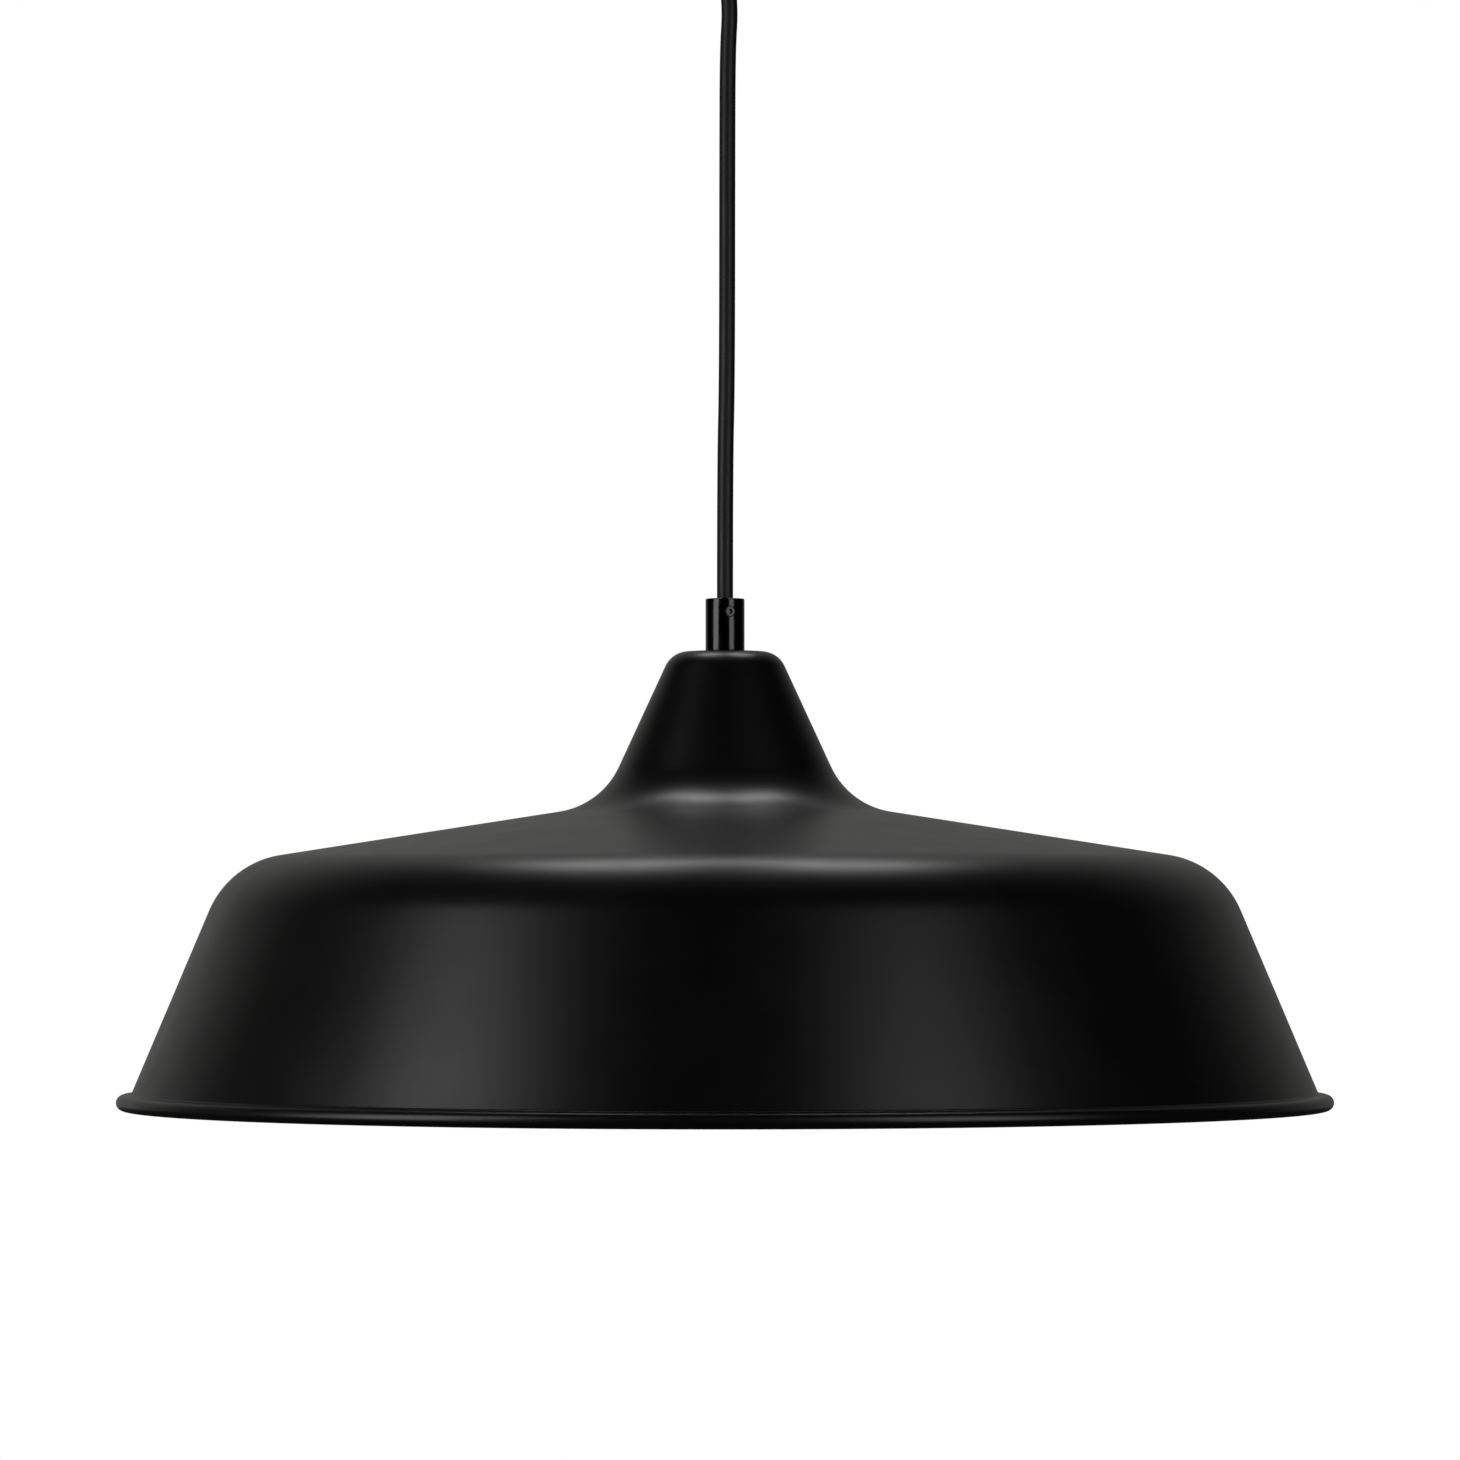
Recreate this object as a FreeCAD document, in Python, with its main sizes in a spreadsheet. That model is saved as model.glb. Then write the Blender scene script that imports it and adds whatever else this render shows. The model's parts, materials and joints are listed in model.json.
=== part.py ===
import FreeCAD, Part
import math
import os
import re

import Sketcher

# Pendant ceiling light: a wide spun-metal shade on a mains cord, with an E27 holder and bulb inside
# and a ceiling fitting above. Millimetres, +Z up. The origin is the centre of the ceiling bracket,
# on the ceiling's face. Everything hangs on one vertical axis below it.

Vector = FreeCAD.Vector
Rotation = FreeCAD.Rotation

document = FreeCAD.newDocument("PendantLight")

# ---------------------------------------------------------------- driving dimensions

DIMENSIONS = {
    # ceiling bracket, a strip with both ends bent down
    "strip_length": 94, "strip_width": 20, "strip_thick": 2, "ear_height": 15, "bend_radius": 2.5,
    "ceiling_screw_spacing": 60, "ceiling_screw_hole": 2.25, "supply_hole": 7,
    # canopy
    "canopy_radius": 50, "canopy_height": 28, "canopy_edge": 6, "canopy_thick": 1,
    "side_screw_depth": 9, "side_screw_hole": 2.2, "side_seat_gap": 0.05,
    # screws: shank radius, head radius and head height
    "side_shank": 2, "side_head": 4, "side_head_height": 2.4, "side_length": 8,
    "small_shank": 1.5, "small_head": 2.2, "small_head_height": 1.6,
    "earth_shank": 2, "earth_head": 3.5, "earth_head_height": 2.2, "earth_position": 17,
    "ring_radius": 4.2, "ring_thick": 0.8, "tapped_gap": 0.06,
    # cord grip, the same at both ends of the cord
    "grip_radius": 7.25, "grip_height": 19.6, "grip_bore": 3.35, "grip_chamfer": 0.5,
    "socket_radius": 5.05, "socket_depth": 9, "grub_radius": 2, "grub_gap": 0.1, "grub_height": 14.6,
    "grub_sink": 0.35, "grub_hex": 1.0, "grub_hex_depth": 1.6, "grub_turn": 15,
    # M10 hollow tube, washer and nut
    "tube_radius": 5, "tube_bore": 3.6, "tube_end_gap": 0.2,
    "washer_radius": 9, "washer_thick": 1, "nut_width": 14, "nut_thick": 3,
    "lamp_tube_length": 23, "canopy_tube_length": 16,
    # cord: 240 mm hangs free between the two grips
    "cord_radius": 3, "cord_drop": 240, "flex_radius": 2.9, "flex_drop": 3.2, "cord_tuck": 2,
    "cord_joint_gap": 0.3, "wire_radius": 1.0, "wire_circle": 1.6,
    "canopy_sheath_end": 9, "lamp_sheath_end": 17,
    # two-pole terminal block
    "block_low_x": -25, "block_depth": 16, "block_length": 22, "block_height": 13, "pole_offset": 5.5,
    "clamp_drop": 8, "clamp_radius": 2.5, "clamp_bore": 1.4, "clamp_length": 14, "clamp_gap": 0.1,
    "clamp_screw_shank": 1.2, "clamp_screw_head": 1.7, "clamp_screw_head_height": 1.4,
    "clamp_screw_offset": 4, "clamp_screw_stand": 0.6, "clamp_screw_reach": 1.4,
    # shade outline: the sharp corners of its outline and the radius that rounds each
    "sheet_thick": 0.8, "cap_corner": 19.65, "cap_edge": 9.4,
    "waist_corner": 46.0, "waist_depth": 57.1, "waist_radius": 29.4,
    "shoulder_corner": 183.5, "shoulder_depth": 78.6, "shoulder_radius": 34.2,
    "wall_end": 219.4, "wall_depth": 163.8,
    "bead_circle": 222.2, "bead_radius": 2.8, "flange_depth": 164.1, "flange_bend": 0.6,
    # E27 holder, depths below the top of the shade
    "holder_top": 5.3, "insert_boss": 8.5, "boss_bottom": 16.5, "cap_neck": 9.5, "cap_shoulder": 20,
    "cap_shoulder_depth": 12, "cap_round": 7, "cap_skirt": 20.6, "cap_bottom": 30, "cap_wall": 2.4,
    "core_radius": 16.3, "core_top": 22.5, "core_bottom": 34.5, "core_pocket_depth": 7.5,
    "terminal_width": 5, "terminal_length": 6, "terminal_height": 7, "terminal_offset": 8.5,
    "terminal_screw_height": 5.0, "earth_pin_length": 6.8, "earth_pin_depth": 14,
    "sleeve_collar": 17.6, "sleeve_top": 22.8, "sleeve_outer": 20.6, "sleeve_end": 19.6,
    "sleeve_inner": 16.5, "sleeve_step": 35, "sleeve_bore": 14.5, "sleeve_bottom": 62,
    "shell_outer": 14.3, "shell_inner": 13.75, "shell_top": 35.3, "shell_bottom": 59,
    "tongue_width": 7, "tongue_length": 15, "tongue_thick": 0.5, "tongue_drop": 1.0,
    # A60 bulb, depths below the top of the shade
    "tip_radius": 4.8, "tip_top": 36.35, "tip_bottom": 38.1, "glass_lip": 0.6, "base_lip": 1,
    "base_step": 0.4,
    "glass_bottom": 41.6, "glass_radius": 10.4, "base_radius": 13.2, "base_top_edge": 44.5,
    "base_bottom": 62.6, "base_thick": 0.4, "bulb_seam": 0.1, "neck_start": 13.6, "neck_swell": 16.5,
    "neck_swell_depth": 72, "neck_join": 26.4, "neck_bottom": 98.3, "neck_wall": 1.6,
    "globe_radius": 30, "globe_centre": 112.3, "globe_wall": 1.4,
    "board_radius": 23, "board_top": 95.2, "board_thick": 1.6,
    "driver_width": 20, "driver_thick": 1.6, "driver_top": 64, "driver_length": 30,
}

sizes = document.addObject("Spreadsheet::Sheet", "Sizes")
for row, (alias, value) in enumerate(DIMENSIONS.items(), start=1):
    sizes.set(f"A{row}", alias)
    sizes.set(f"B{row}", str(value))
    sizes.setAlias(f"B{row}", alias)
document.recompute()

# Levels that several pieces share, as formulas of the driving dimensions.
CANOPY_FLOOR = "-canopy_height"
CANOPY_GRIP_END = "-(canopy_height + grip_height)"
PIVOT = "-(canopy_height + grip_height + flex_drop)"
SHADE_TOP = "-(canopy_height + 2 * grip_height + cord_drop)"
BLOCK_MIDDLE = "block_low_x + block_depth / 2"
SIDES = (-1, 1)


def formula(text):
    """Turn a formula over the sheet's aliases into a FreeCAD expression."""
    return re.sub(r"[a-z]\w*_\w+", lambda word: "Sizes." + word.group(0), str(text))


def number(text):
    """The value of a formula in millimetres, read from the sheet."""
    value = sizes.evalExpression(formula(text))
    return float(getattr(value, "Value", value))


def bind(item, **formulas):
    """Bind properties of an object to formulas; Placement parts are given as x, y and z."""
    for name, text in formulas.items():
        target = "Placement.Base." + name if name in ("x", "y", "z") else name
        item.setExpression(target, formula(text))


# ---------------------------------------------------------------- sketches and bodies

def new_body(label):
    body = document.addObject("PartDesign::Body", label)
    body.Label = label
    return body


def origin_feature(body, role):
    return [feature for feature in body.Origin.OriginFeatures if feature.Role == role][0]


def new_sketch(body, plane, name):
    sketch = body.newObject("Sketcher::SketchObject", name)
    sketch.AttachmentSupport = [(origin_feature(body, plane), "")]
    sketch.MapMode = "FlatFace"
    return sketch


def fix(sketch, geometry, point, x, y):
    """Hold a sketch point at the place two formulas give."""
    for kind, text in (("DistanceX", x), ("DistanceY", y)):
        index = sketch.addConstraint(
            Sketcher.Constraint(kind, -1, 1, geometry, point, number(text)))
        sketch.setExpression(f"Constraints[{index}]", formula(text))


def add_circle(sketch, x, y, radius):
    circle = Part.Circle(Vector(number(x), number(y), 0), Vector(0, 0, 1), number(radius))
    index = sketch.addGeometry(circle, False)
    fix(sketch, index, 3, x, y)
    held = sketch.addConstraint(Sketcher.Constraint("Radius", index, number(radius)))
    sketch.setExpression(f"Constraints[{held}]", formula(radius))


def add_outline(sketch, corners):
    """Draw a closed outline. Each corner is (x, y) or (x, y, radius), all formulas."""
    points = [Vector(number(corner[0]), number(corner[1]), 0) for corner in corners]
    count = len(corners)
    line_starts = []
    line_ends = []
    rounds = {}
    for spot, corner in enumerate(corners):
        point = points[spot]
        if len(corner) == 2:
            line_starts.append(point)
            line_ends.append(point)
            continue
        back = (points[spot - 1] - point).normalize()
        ahead = (points[(spot + 1) % count] - point).normalize()
        half = back.getAngle(ahead) / 2
        radius = number(corner[2])
        tangent = radius / math.tan(half)
        centre = point + (back + ahead).normalize() * (radius / math.sin(half))
        line_ends.append(point + back * tangent)
        line_starts.append(point + ahead * tangent)
        middle = centre + (point - centre).normalize() * radius
        rounds[spot] = Part.Arc(line_ends[spot], middle, line_starts[spot])
    lines = []
    for spot in range(count):
        segment = Part.LineSegment(line_starts[spot], line_ends[(spot + 1) % count])
        lines.append(sketch.addGeometry(segment, False))
    for spot, corner in enumerate(corners):
        before = lines[spot - 1]
        after = lines[spot]
        if spot not in rounds:
            sketch.addConstraint(Sketcher.Constraint("Coincident", before, 2, after, 1))
            fix(sketch, after, 1, corner[0], corner[1])
            continue
        arc = sketch.addGeometry(rounds[spot], False)
        forward = (sketch.getPoint(arc, 1) - line_ends[spot]).Length < 1e-6
        first, last = (1, 2) if forward else (2, 1)
        sketch.addConstraint(Sketcher.Constraint("Tangent", before, 2, arc, first))
        sketch.addConstraint(Sketcher.Constraint("Tangent", arc, last, after, 1))
        held = sketch.addConstraint(Sketcher.Constraint("Radius", arc, number(corner[2])))
        sketch.setExpression(f"Constraints[{held}]", formula(corner[2]))
        sharp = sketch.addGeometry(Part.Point(points[spot]), True)
        sketch.addConstraint(Sketcher.Constraint("PointOnObject", sharp, 1, before))
        sketch.addConstraint(Sketcher.Constraint("PointOnObject", sharp, 1, after))
        fix(sketch, sharp, 1, corner[0], corner[1])


def revolve(body, corners, name="Profile"):
    """Turn a profile drawn in X and Z about the body's Z axis."""
    sketch = new_sketch(body, "XZ_Plane", name)
    add_outline(sketch, corners)
    feature = body.newObject("PartDesign::Revolution", name + "Turned")
    feature.Profile = sketch
    feature.ReferenceAxis = (sketch, ["V_Axis"])
    feature.Angle = 360
    document.recompute()
    return feature


def turned(label, z, corners):
    """A body of revolution whose own datum stands at height z."""
    body = new_body(label)
    revolve(body, corners)
    bind(body, z=z)
    return body


def ring(label, z, outer, inner, height):
    """A plain ring that reaches its height below z."""
    return turned(label, z, [(inner, "0"), (outer, "0"), (outer, f"-({height})"), (inner, f"-({height})")])


def pad(body, plane, corners, length, midplane=False):
    sketch = new_sketch(body, plane, "Profile")
    add_outline(sketch, corners)
    feature = body.newObject("PartDesign::Pad", "ProfilePad")
    feature.Profile = sketch
    feature.Midplane = midplane
    bind(feature, Length=length)
    document.recompute()


def drill(body, plane, circles, length, reverse=False, midplane=False, name="Holes"):
    """Cut round holes and make sure that every one removes material."""
    before = body.Shape.Volume
    sketch = new_sketch(body, plane, name)
    for x, y, radius in circles:
        add_circle(sketch, x, y, radius)
    cut = body.newObject("PartDesign::Pocket", name + "Cut")
    cut.Profile = sketch
    cut.Midplane = midplane
    cut.Reversed = reverse
    bind(cut, Length=length)
    document.recompute()
    if body.Shape.Volume >= before - 0.01:
        raise RuntimeError(f"{body.Label}: {name} removed nothing")


def cut_pocket(body, corners, length, name):
    """Cut an outline downwards from the body's XY plane and make sure that it removes material."""
    before = body.Shape.Volume
    sketch = new_sketch(body, "XY_Plane", name)
    add_outline(sketch, corners)
    cut = body.newObject("PartDesign::Pocket", name + "Cut")
    cut.Profile = sketch
    bind(cut, Length=length)
    document.recompute()
    if body.Shape.Volume >= before - 0.01:
        raise RuntimeError(f"{body.Label}: {name} removed nothing")


def rectangle(low_x, low_y, high_x, high_y):
    return [(low_x, low_y), (high_x, low_y), (high_x, high_y), (low_x, high_y)]


def screw_profile(shank, length, head, head_height):
    """A screw along +Z: its head stands below its datum and its shank above."""
    rounding = f"0.45 * {head_height}"
    return [("0", length), (shank, length), (shank, "0"), (head, "0"),
            (head, f"-{head_height}", rounding), ("0", f"-{head_height}")]


def compound(label, members):
    """Several identical solids kept as one node, each free-standing."""
    group = document.addObject("Part::Compound", label)
    group.Label = label
    group.Links = members
    document.recompute()


def place(body, x, y, z, axis=Vector(0, 0, 1), angle=0.0):
    """Put a body at three formulas, turned about an axis."""
    body.Placement = FreeCAD.Placement(Vector(0, 0, 0), Rotation(axis, angle))
    bind(body, x=x, y=y, z=z)


def screw_group(label, prefix, length, places, axis=Vector(0, 0, 1), angles=None):
    """Identical screws at several places, each turned by its own angle about the axis."""
    members = []
    for index, (x, y, z) in enumerate(places):
        body = new_body(f"{label}_{index + 1}")
        profile = screw_profile(f"{prefix}_shank", length, f"{prefix}_head", f"{prefix}_head_height")
        revolve(body, profile)
        place(body, x, y, z, axis, angles[index] if angles else 0.0)
        members.append(body)
    compound(label, members)


# ---------------------------------------------------------------- cords and wires

def rounded_path(points, share=0.45):
    """Straight runs joined by tangent arcs, each as large as its shorter run allows."""
    edges = []
    radii = []
    start = points[0]
    for before, corner, after in zip(points, points[1:], points[2:]):
        back = before - corner
        ahead = after - corner
        reach = share * min(back.Length, ahead.Length)
        half_turn = (math.pi - back.getAngle(ahead)) / 2
        radius = reach / math.tan(half_turn)
        radii.append(radius)
        back.normalize()
        ahead.normalize()
        entry = corner + back * reach
        leave = corner + ahead * reach
        bisector = (back + ahead).normalize()
        middle = corner + bisector * (radius / math.cos(half_turn) - radius)
        edges.append(Part.LineSegment(start, entry).toShape())
        edges.append(Part.Arc(entry, middle, leave).toShape())
        start = leave
    edges.append(Part.LineSegment(start, points[-1]).toShape())
    return Part.Wire(edges), radii


def tube_feature(label, points, radius, share=0.45):
    """A round cord or wire along a route, as one solid."""
    path, radii = rounded_path(points, share)
    direction = points[1] - points[0]
    section = Part.Wire(Part.makeCircle(radius, points[0], direction))
    solid = path.makePipeShell([section], True, False)
    if solid.Volume < 0:
        solid.reverse()
    expected = math.pi * radius ** 2 * path.Length
    print(f"{label}: length {path.Length:.1f}, tightest arc {min(radii):.1f}, "
          f"volume over section times length {solid.Volume / expected:.4f}")
    feature = document.addObject("Part::Feature", label)
    feature.Label = label
    feature.Shape = solid
    feature.Placement = FreeCAD.Placement()


def cylinder(label, radius, height, z):
    """A round stub that stands on height z."""
    item = document.addObject("Part::Cylinder", label)
    item.Label = label
    bind(item, Radius=radius, Height=height, z=z)


# ---------------------------------------------------------------- ceiling fitting

def make_bracket():
    """A steel strip on the ceiling with both ends bent down, and its drilled and tapped holes."""
    body = new_body("ceiling_bracket")
    half = "strip_length / 2"
    inner = f"({half} - strip_thick)"
    sharp = "0.2 * bend_radius"
    pad(body, "XZ_Plane", [
        (f"-{half}", "0", "bend_radius"), (half, "0", "bend_radius"),
        (half, "-ear_height"), (inner, "-ear_height"), (inner, "-strip_thick", sharp),
        (f"-{inner}", "-strip_thick", sharp), (f"-{inner}", "-ear_height"), (f"-{half}", "-ear_height")],
        "strip_width", midplane=True)
    spread = "ceiling_screw_spacing / 2"
    drill(body, "XY_Plane", [
        (f"-{spread}", "0", "ceiling_screw_hole"), (spread, "0", "ceiling_screw_hole"),
        ("0", "0", "supply_hole"), ("earth_position", "0", "earth_shank + tapped_gap"),
        (BLOCK_MIDDLE, "0", "small_shank + tapped_gap")],
        "3 * strip_thick", midplane=True, name="PlateHoles")
    drill(body, "YZ_Plane", [("0", "-side_screw_depth", "side_shank + tapped_gap")],
          "2 * strip_length", midplane=True, name="EarHoles")


def make_canopy():
    """A shallow sheet-metal cup, open at the ceiling."""
    body = new_body("canopy_cup")
    cup = revolve(body, [("0", "0"), ("canopy_radius", "0"),
                         ("canopy_radius", "-canopy_height", "canopy_edge"), ("0", "-canopy_height")])
    top = [index for index, face in enumerate(cup.Shape.Faces, start=1) if face.CenterOfMass.z > -0.01]
    shell = body.newObject("PartDesign::Thickness", "Shell")
    shell.Base = (cup, [f"Face{top[0]}"])
    shell.Reversed = True
    bind(shell, Value="canopy_thick")
    document.recompute()
    drill(body, "XY_Plane", [("0", "0", "socket_radius")], "3 * canopy_height",
          midplane=True, name="Centre")
    drill(body, "YZ_Plane", [("0", "-side_screw_depth", "side_screw_hole")],
          "3 * canopy_radius", midplane=True, name="Sides")


def make_side_screws():
    """Two screws through the canopy's wall into the bracket's ears, heads outside."""
    seat = "(canopy_radius + side_seat_gap)"
    screw_group("canopy_side_screws", "side", "side_length",
                [(f"-{seat}", "0", "-side_screw_depth"), (seat, "0", "-side_screw_depth")],
                Vector(0, 1, 0), (90.0, -90.0))


def make_terminal_block():
    """A two-pole block: bores for the clamps, holes for their screws and for its own screw."""
    body = new_body("terminal_block")
    pad(body, "XY_Plane", rectangle("block_low_x", "-block_length / 2",
                                    "block_low_x + block_depth", "block_length / 2"), "block_height")
    bores = [(f"{side} * pole_offset", "block_height - clamp_drop", "clamp_radius + clamp_gap")
             for side in SIDES]
    drill(body, "YZ_Plane", bores, "4 * block_depth", midplane=True, name="Poles")
    access = [(f"{BLOCK_MIDDLE} + {along} * clamp_screw_offset", f"{side} * pole_offset",
               "clamp_screw_head + clamp_gap") for side in SIDES for along in SIDES]
    drill(body, "XY_Plane", access, "block_height - clamp_drop", reverse=True, name="Access")
    drill(body, "XY_Plane", [(BLOCK_MIDDLE, "0", "small_shank + tapped_gap")], "block_height",
          reverse=True, name="Fixing")
    drill(body, "XY_Plane", [(BLOCK_MIDDLE, "0", "small_head + clamp_gap")], "small_head_height",
          reverse=True, name="Recess")
    bind(body, z="-strip_thick - block_height")


def make_terminal_clamps():
    """Two brass tubes, each with two tapped holes, one solid per pole."""
    members = []
    for side in SIDES:
        body = new_body(f"terminal_clamp_{'near' if side < 0 else 'far'}")
        revolve(body, [("clamp_bore", "-clamp_length / 2"), ("clamp_radius", "-clamp_length / 2"),
                       ("clamp_radius", "clamp_length / 2"), ("clamp_bore", "clamp_length / 2")])
        drill(body, "YZ_Plane", [("0", f"{along} * clamp_screw_offset", "clamp_screw_shank + tapped_gap")
                                 for along in SIDES], "2 * clamp_radius", reverse=True, name="Tapped")
        place(body, BLOCK_MIDDLE, f"{side} * pole_offset", "-strip_thick - clamp_drop",
              Vector(0, 1, 0), 90.0)
        members.append(body)
    compound("terminal_clamps", members)


def make_terminal_screws():
    places = [(f"{BLOCK_MIDDLE} + {along} * clamp_screw_offset", f"{side} * pole_offset",
               "-strip_thick - clamp_drop - clamp_radius - clamp_screw_stand")
              for side in SIDES for along in SIDES]
    screw_group("terminal_screws", "clamp_screw", "clamp_screw_stand + clamp_screw_reach", places)


def make_block_screw():
    """The screw that holds the terminal block to the bracket."""
    body = new_body("terminal_block_screw")
    revolve(body, screw_profile("small_shank", "block_height - small_head_height + strip_thick",
                                "small_head", "small_head_height"))
    place(body, BLOCK_MIDDLE, "0", "-strip_thick - block_height + small_head_height")


def make_earth_screw():
    """The earth terminal screw, up through its ring terminal into the bracket."""
    body = new_body("earth_screw")
    revolve(body, screw_profile("earth_shank", "strip_thick + ring_thick + tapped_gap",
                                "earth_head", "earth_head_height"))
    place(body, "earth_position", "0", "-strip_thick - ring_thick - tapped_gap")


def make_earth_ring():
    """The ring terminal between the earth screw's head and the bracket."""
    body = ring("earth_ring", "-strip_thick - 0.5 * tapped_gap", "ring_radius",
                "earth_shank + tapped_gap", "ring_thick")
    bind(body, x="earth_position")


# ---------------------------------------------------------------- cord grips and their tubes

def make_grip(label, z, upward):
    """A turned cord grip: a bore for the cord, an M10 socket and a hole for its grub screw."""
    body = new_body(label)
    small = "0.4 * grip_chamfer"
    revolve(body, [
        ("grip_bore", "socket_depth"), ("grip_bore", "grip_height - grip_chamfer"),
        ("grip_bore + grip_chamfer", "grip_height"), ("grip_radius - grip_chamfer", "grip_height"),
        ("grip_radius", "grip_height - grip_chamfer"), ("grip_radius", small),
        (f"grip_radius - {small}", "0"), ("socket_radius", "0"), ("socket_radius", "socket_depth")])
    drill(body, "XZ_Plane", [("0", "grub_height", "grub_radius + grub_gap")],
          "2 * grip_radius", reverse=True, name="GrubHole")
    turn_grip(body, z, upward)


def turn_grip(item, z, upward):
    """Stand a grip piece up or hang it down, its screw at the front and a little to the right."""
    facing = Rotation(Vector(0, 0, 1), number("grub_turn"))
    if not upward:
        facing = facing.multiply(Rotation(Vector(0, 1, 0), 180))
    item.Placement = FreeCAD.Placement(Vector(0, 0, 0), facing)
    bind(item, z=z)


def make_grub(label, z, upward):
    """A hexagon-socket grub screw that presses on the cord."""
    forward = FreeCAD.Placement(Vector(0, 0, 0), Rotation(Vector(1, 0, 0), 90))
    screw = document.addObject("Part::Cylinder", label + "_blank")
    screw.Placement = forward
    bind(screw, Radius="grub_radius", Height="grip_radius - grub_sink - cord_radius - grub_gap",
         y="-(cord_radius + grub_gap)", z="grub_height")
    hexagon = document.addObject("Part::Prism", label + "_hexagon")
    hexagon.Polygon = 6
    hexagon.Placement = forward
    bind(hexagon, Circumradius="grub_hex", Height="2 * grub_hex_depth",
         y="-(grip_radius - grub_sink - grub_hex_depth)", z="grub_height")
    cut = document.addObject("Part::Cut", label)
    cut.Label = label
    cut.Base = screw
    cut.Tool = hexagon
    turn_grip(cut, z, upward)


def make_nut(label, top):
    """A thin hexagon locknut for the M10 tube."""
    prism = document.addObject("Part::Prism", label + "_hexagon")
    prism.Polygon = 6
    bind(prism, Circumradius="nut_width / sqrt(3)", Height="nut_thick")
    bore = document.addObject("Part::Cylinder", label + "_bore")
    bind(bore, Radius="socket_radius", Height="3 * nut_thick", z="-nut_thick")
    cut = document.addObject("Part::Cut", label)
    cut.Label = label
    cut.Base = prism
    cut.Tool = bore
    bind(cut, z=f"{top} - nut_thick")


# ---------------------------------------------------------------- shade

NECK_LEAN = "atan((waist_corner - cap_corner) / waist_depth)"
CONE_FALL = "atan((shoulder_depth - waist_depth) / (shoulder_corner - waist_corner))"
WALL_LEAN = "atan((wall_end - shoulder_corner) / (wall_depth - shoulder_depth))"


def inner_corner(x, depth, radius, steep, shallow, grow):
    """The corner under a corner of the outside, one sheet thickness in along both its lines.

    steep is the lean of the steeper line from the vertical, shallow the fall of the flatter one.
    """
    share = f"sheet_thick / (1 + sin({steep} + {shallow}))"
    return (f"{x} - (cos({steep}) + sin({shallow})) * {share}",
            f"-{depth} - (sin({steep}) + cos({shallow})) * {share}", f"{radius} {grow} sheet_thick")


def make_shade():
    """One spinning: narrow neck, waist, shallow cone, shoulder, steep wall and a rolled bead."""
    outside = [("socket_radius", "0"), ("cap_corner", "0", "cap_edge"),
               ("waist_corner", "-waist_depth", "waist_radius"),
               ("shoulder_corner", "-shoulder_depth", "shoulder_radius"),
               ("wall_end", "-wall_depth", "flange_bend")]
    rounding = "0.98 * bead_radius"
    bead = [("bead_circle + bead_radius", "-flange_depth", rounding),
            ("bead_circle + bead_radius", "-(flange_depth + 2 * bead_radius)", rounding),
            ("bead_circle - bead_radius", "-(flange_depth + 2 * bead_radius)", rounding),
            ("bead_circle - bead_radius", "-(wall_depth + 0.7 * bead_radius)")]
    inside = [inner_corner("shoulder_corner", "shoulder_depth", "shoulder_radius",
                           WALL_LEAN, CONE_FALL, "-"),
              inner_corner("waist_corner", "waist_depth", "waist_radius", NECK_LEAN, CONE_FALL, "+"),
              inner_corner("cap_corner", "0", "cap_edge", NECK_LEAN, "0 deg", "-"),
              ("socket_radius", "-sheet_thick")]
    turned("shade", SHADE_TOP, outside + bead + inside)


# ---------------------------------------------------------------- E27 holder

def make_holder_cap():
    """The moulded dome that carries the holder on the M10 tube."""
    body = turned("holder_cap", SHADE_TOP, [
        ("insert_boss + clamp_gap", "-holder_top"), ("cap_neck + 1", "-holder_top"),
        ("cap_shoulder", "-cap_shoulder_depth", "cap_round"), ("cap_skirt", "-cap_bottom"),
        ("cap_skirt - cap_wall", "-cap_bottom"),
        ("cap_shoulder - cap_wall", "-(cap_shoulder_depth + cap_wall)", "cap_round - cap_wall"),
        ("cap_neck + cap_wall", "-(holder_top + 2 * cap_wall)"),
        ("cap_neck + cap_wall", "-boss_bottom"), ("insert_boss + clamp_gap", "-boss_bottom")])
    drill(body, "XZ_Plane", [("0", "-earth_pin_depth", "clamp_screw_shank + 2 * tapped_gap")],
          "cap_neck + 1.5 * cap_wall", reverse=True, name="EarthPinHole")


def make_holder_thread():
    """The metal M10 insert moulded into the cap, tapped at the side for the earth screw."""
    body = turned("holder_cap_thread", SHADE_TOP, [
        ("socket_radius", "-holder_top"), ("insert_boss", "-holder_top"),
        ("insert_boss", "-boss_bottom"), ("socket_radius", "-boss_bottom")])
    drill(body, "XZ_Plane", [("0", "-earth_pin_depth", "clamp_screw_shank + tapped_gap")],
          "2 * insert_boss", reverse=True, name="Tapped")


def make_holder_earth_screw():
    """The earth screw, in from the side of the boss."""
    body = new_body("holder_earth_screw")
    revolve(body, screw_profile("clamp_screw_shank", "earth_pin_length", "clamp_screw_head",
                                "clamp_screw_head_height"))
    place(body, "0", "-(socket_radius + clamp_gap + earth_pin_length)",
          f"{SHADE_TOP} - earth_pin_depth", Vector(1, 0, 0), -90.0)


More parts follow.
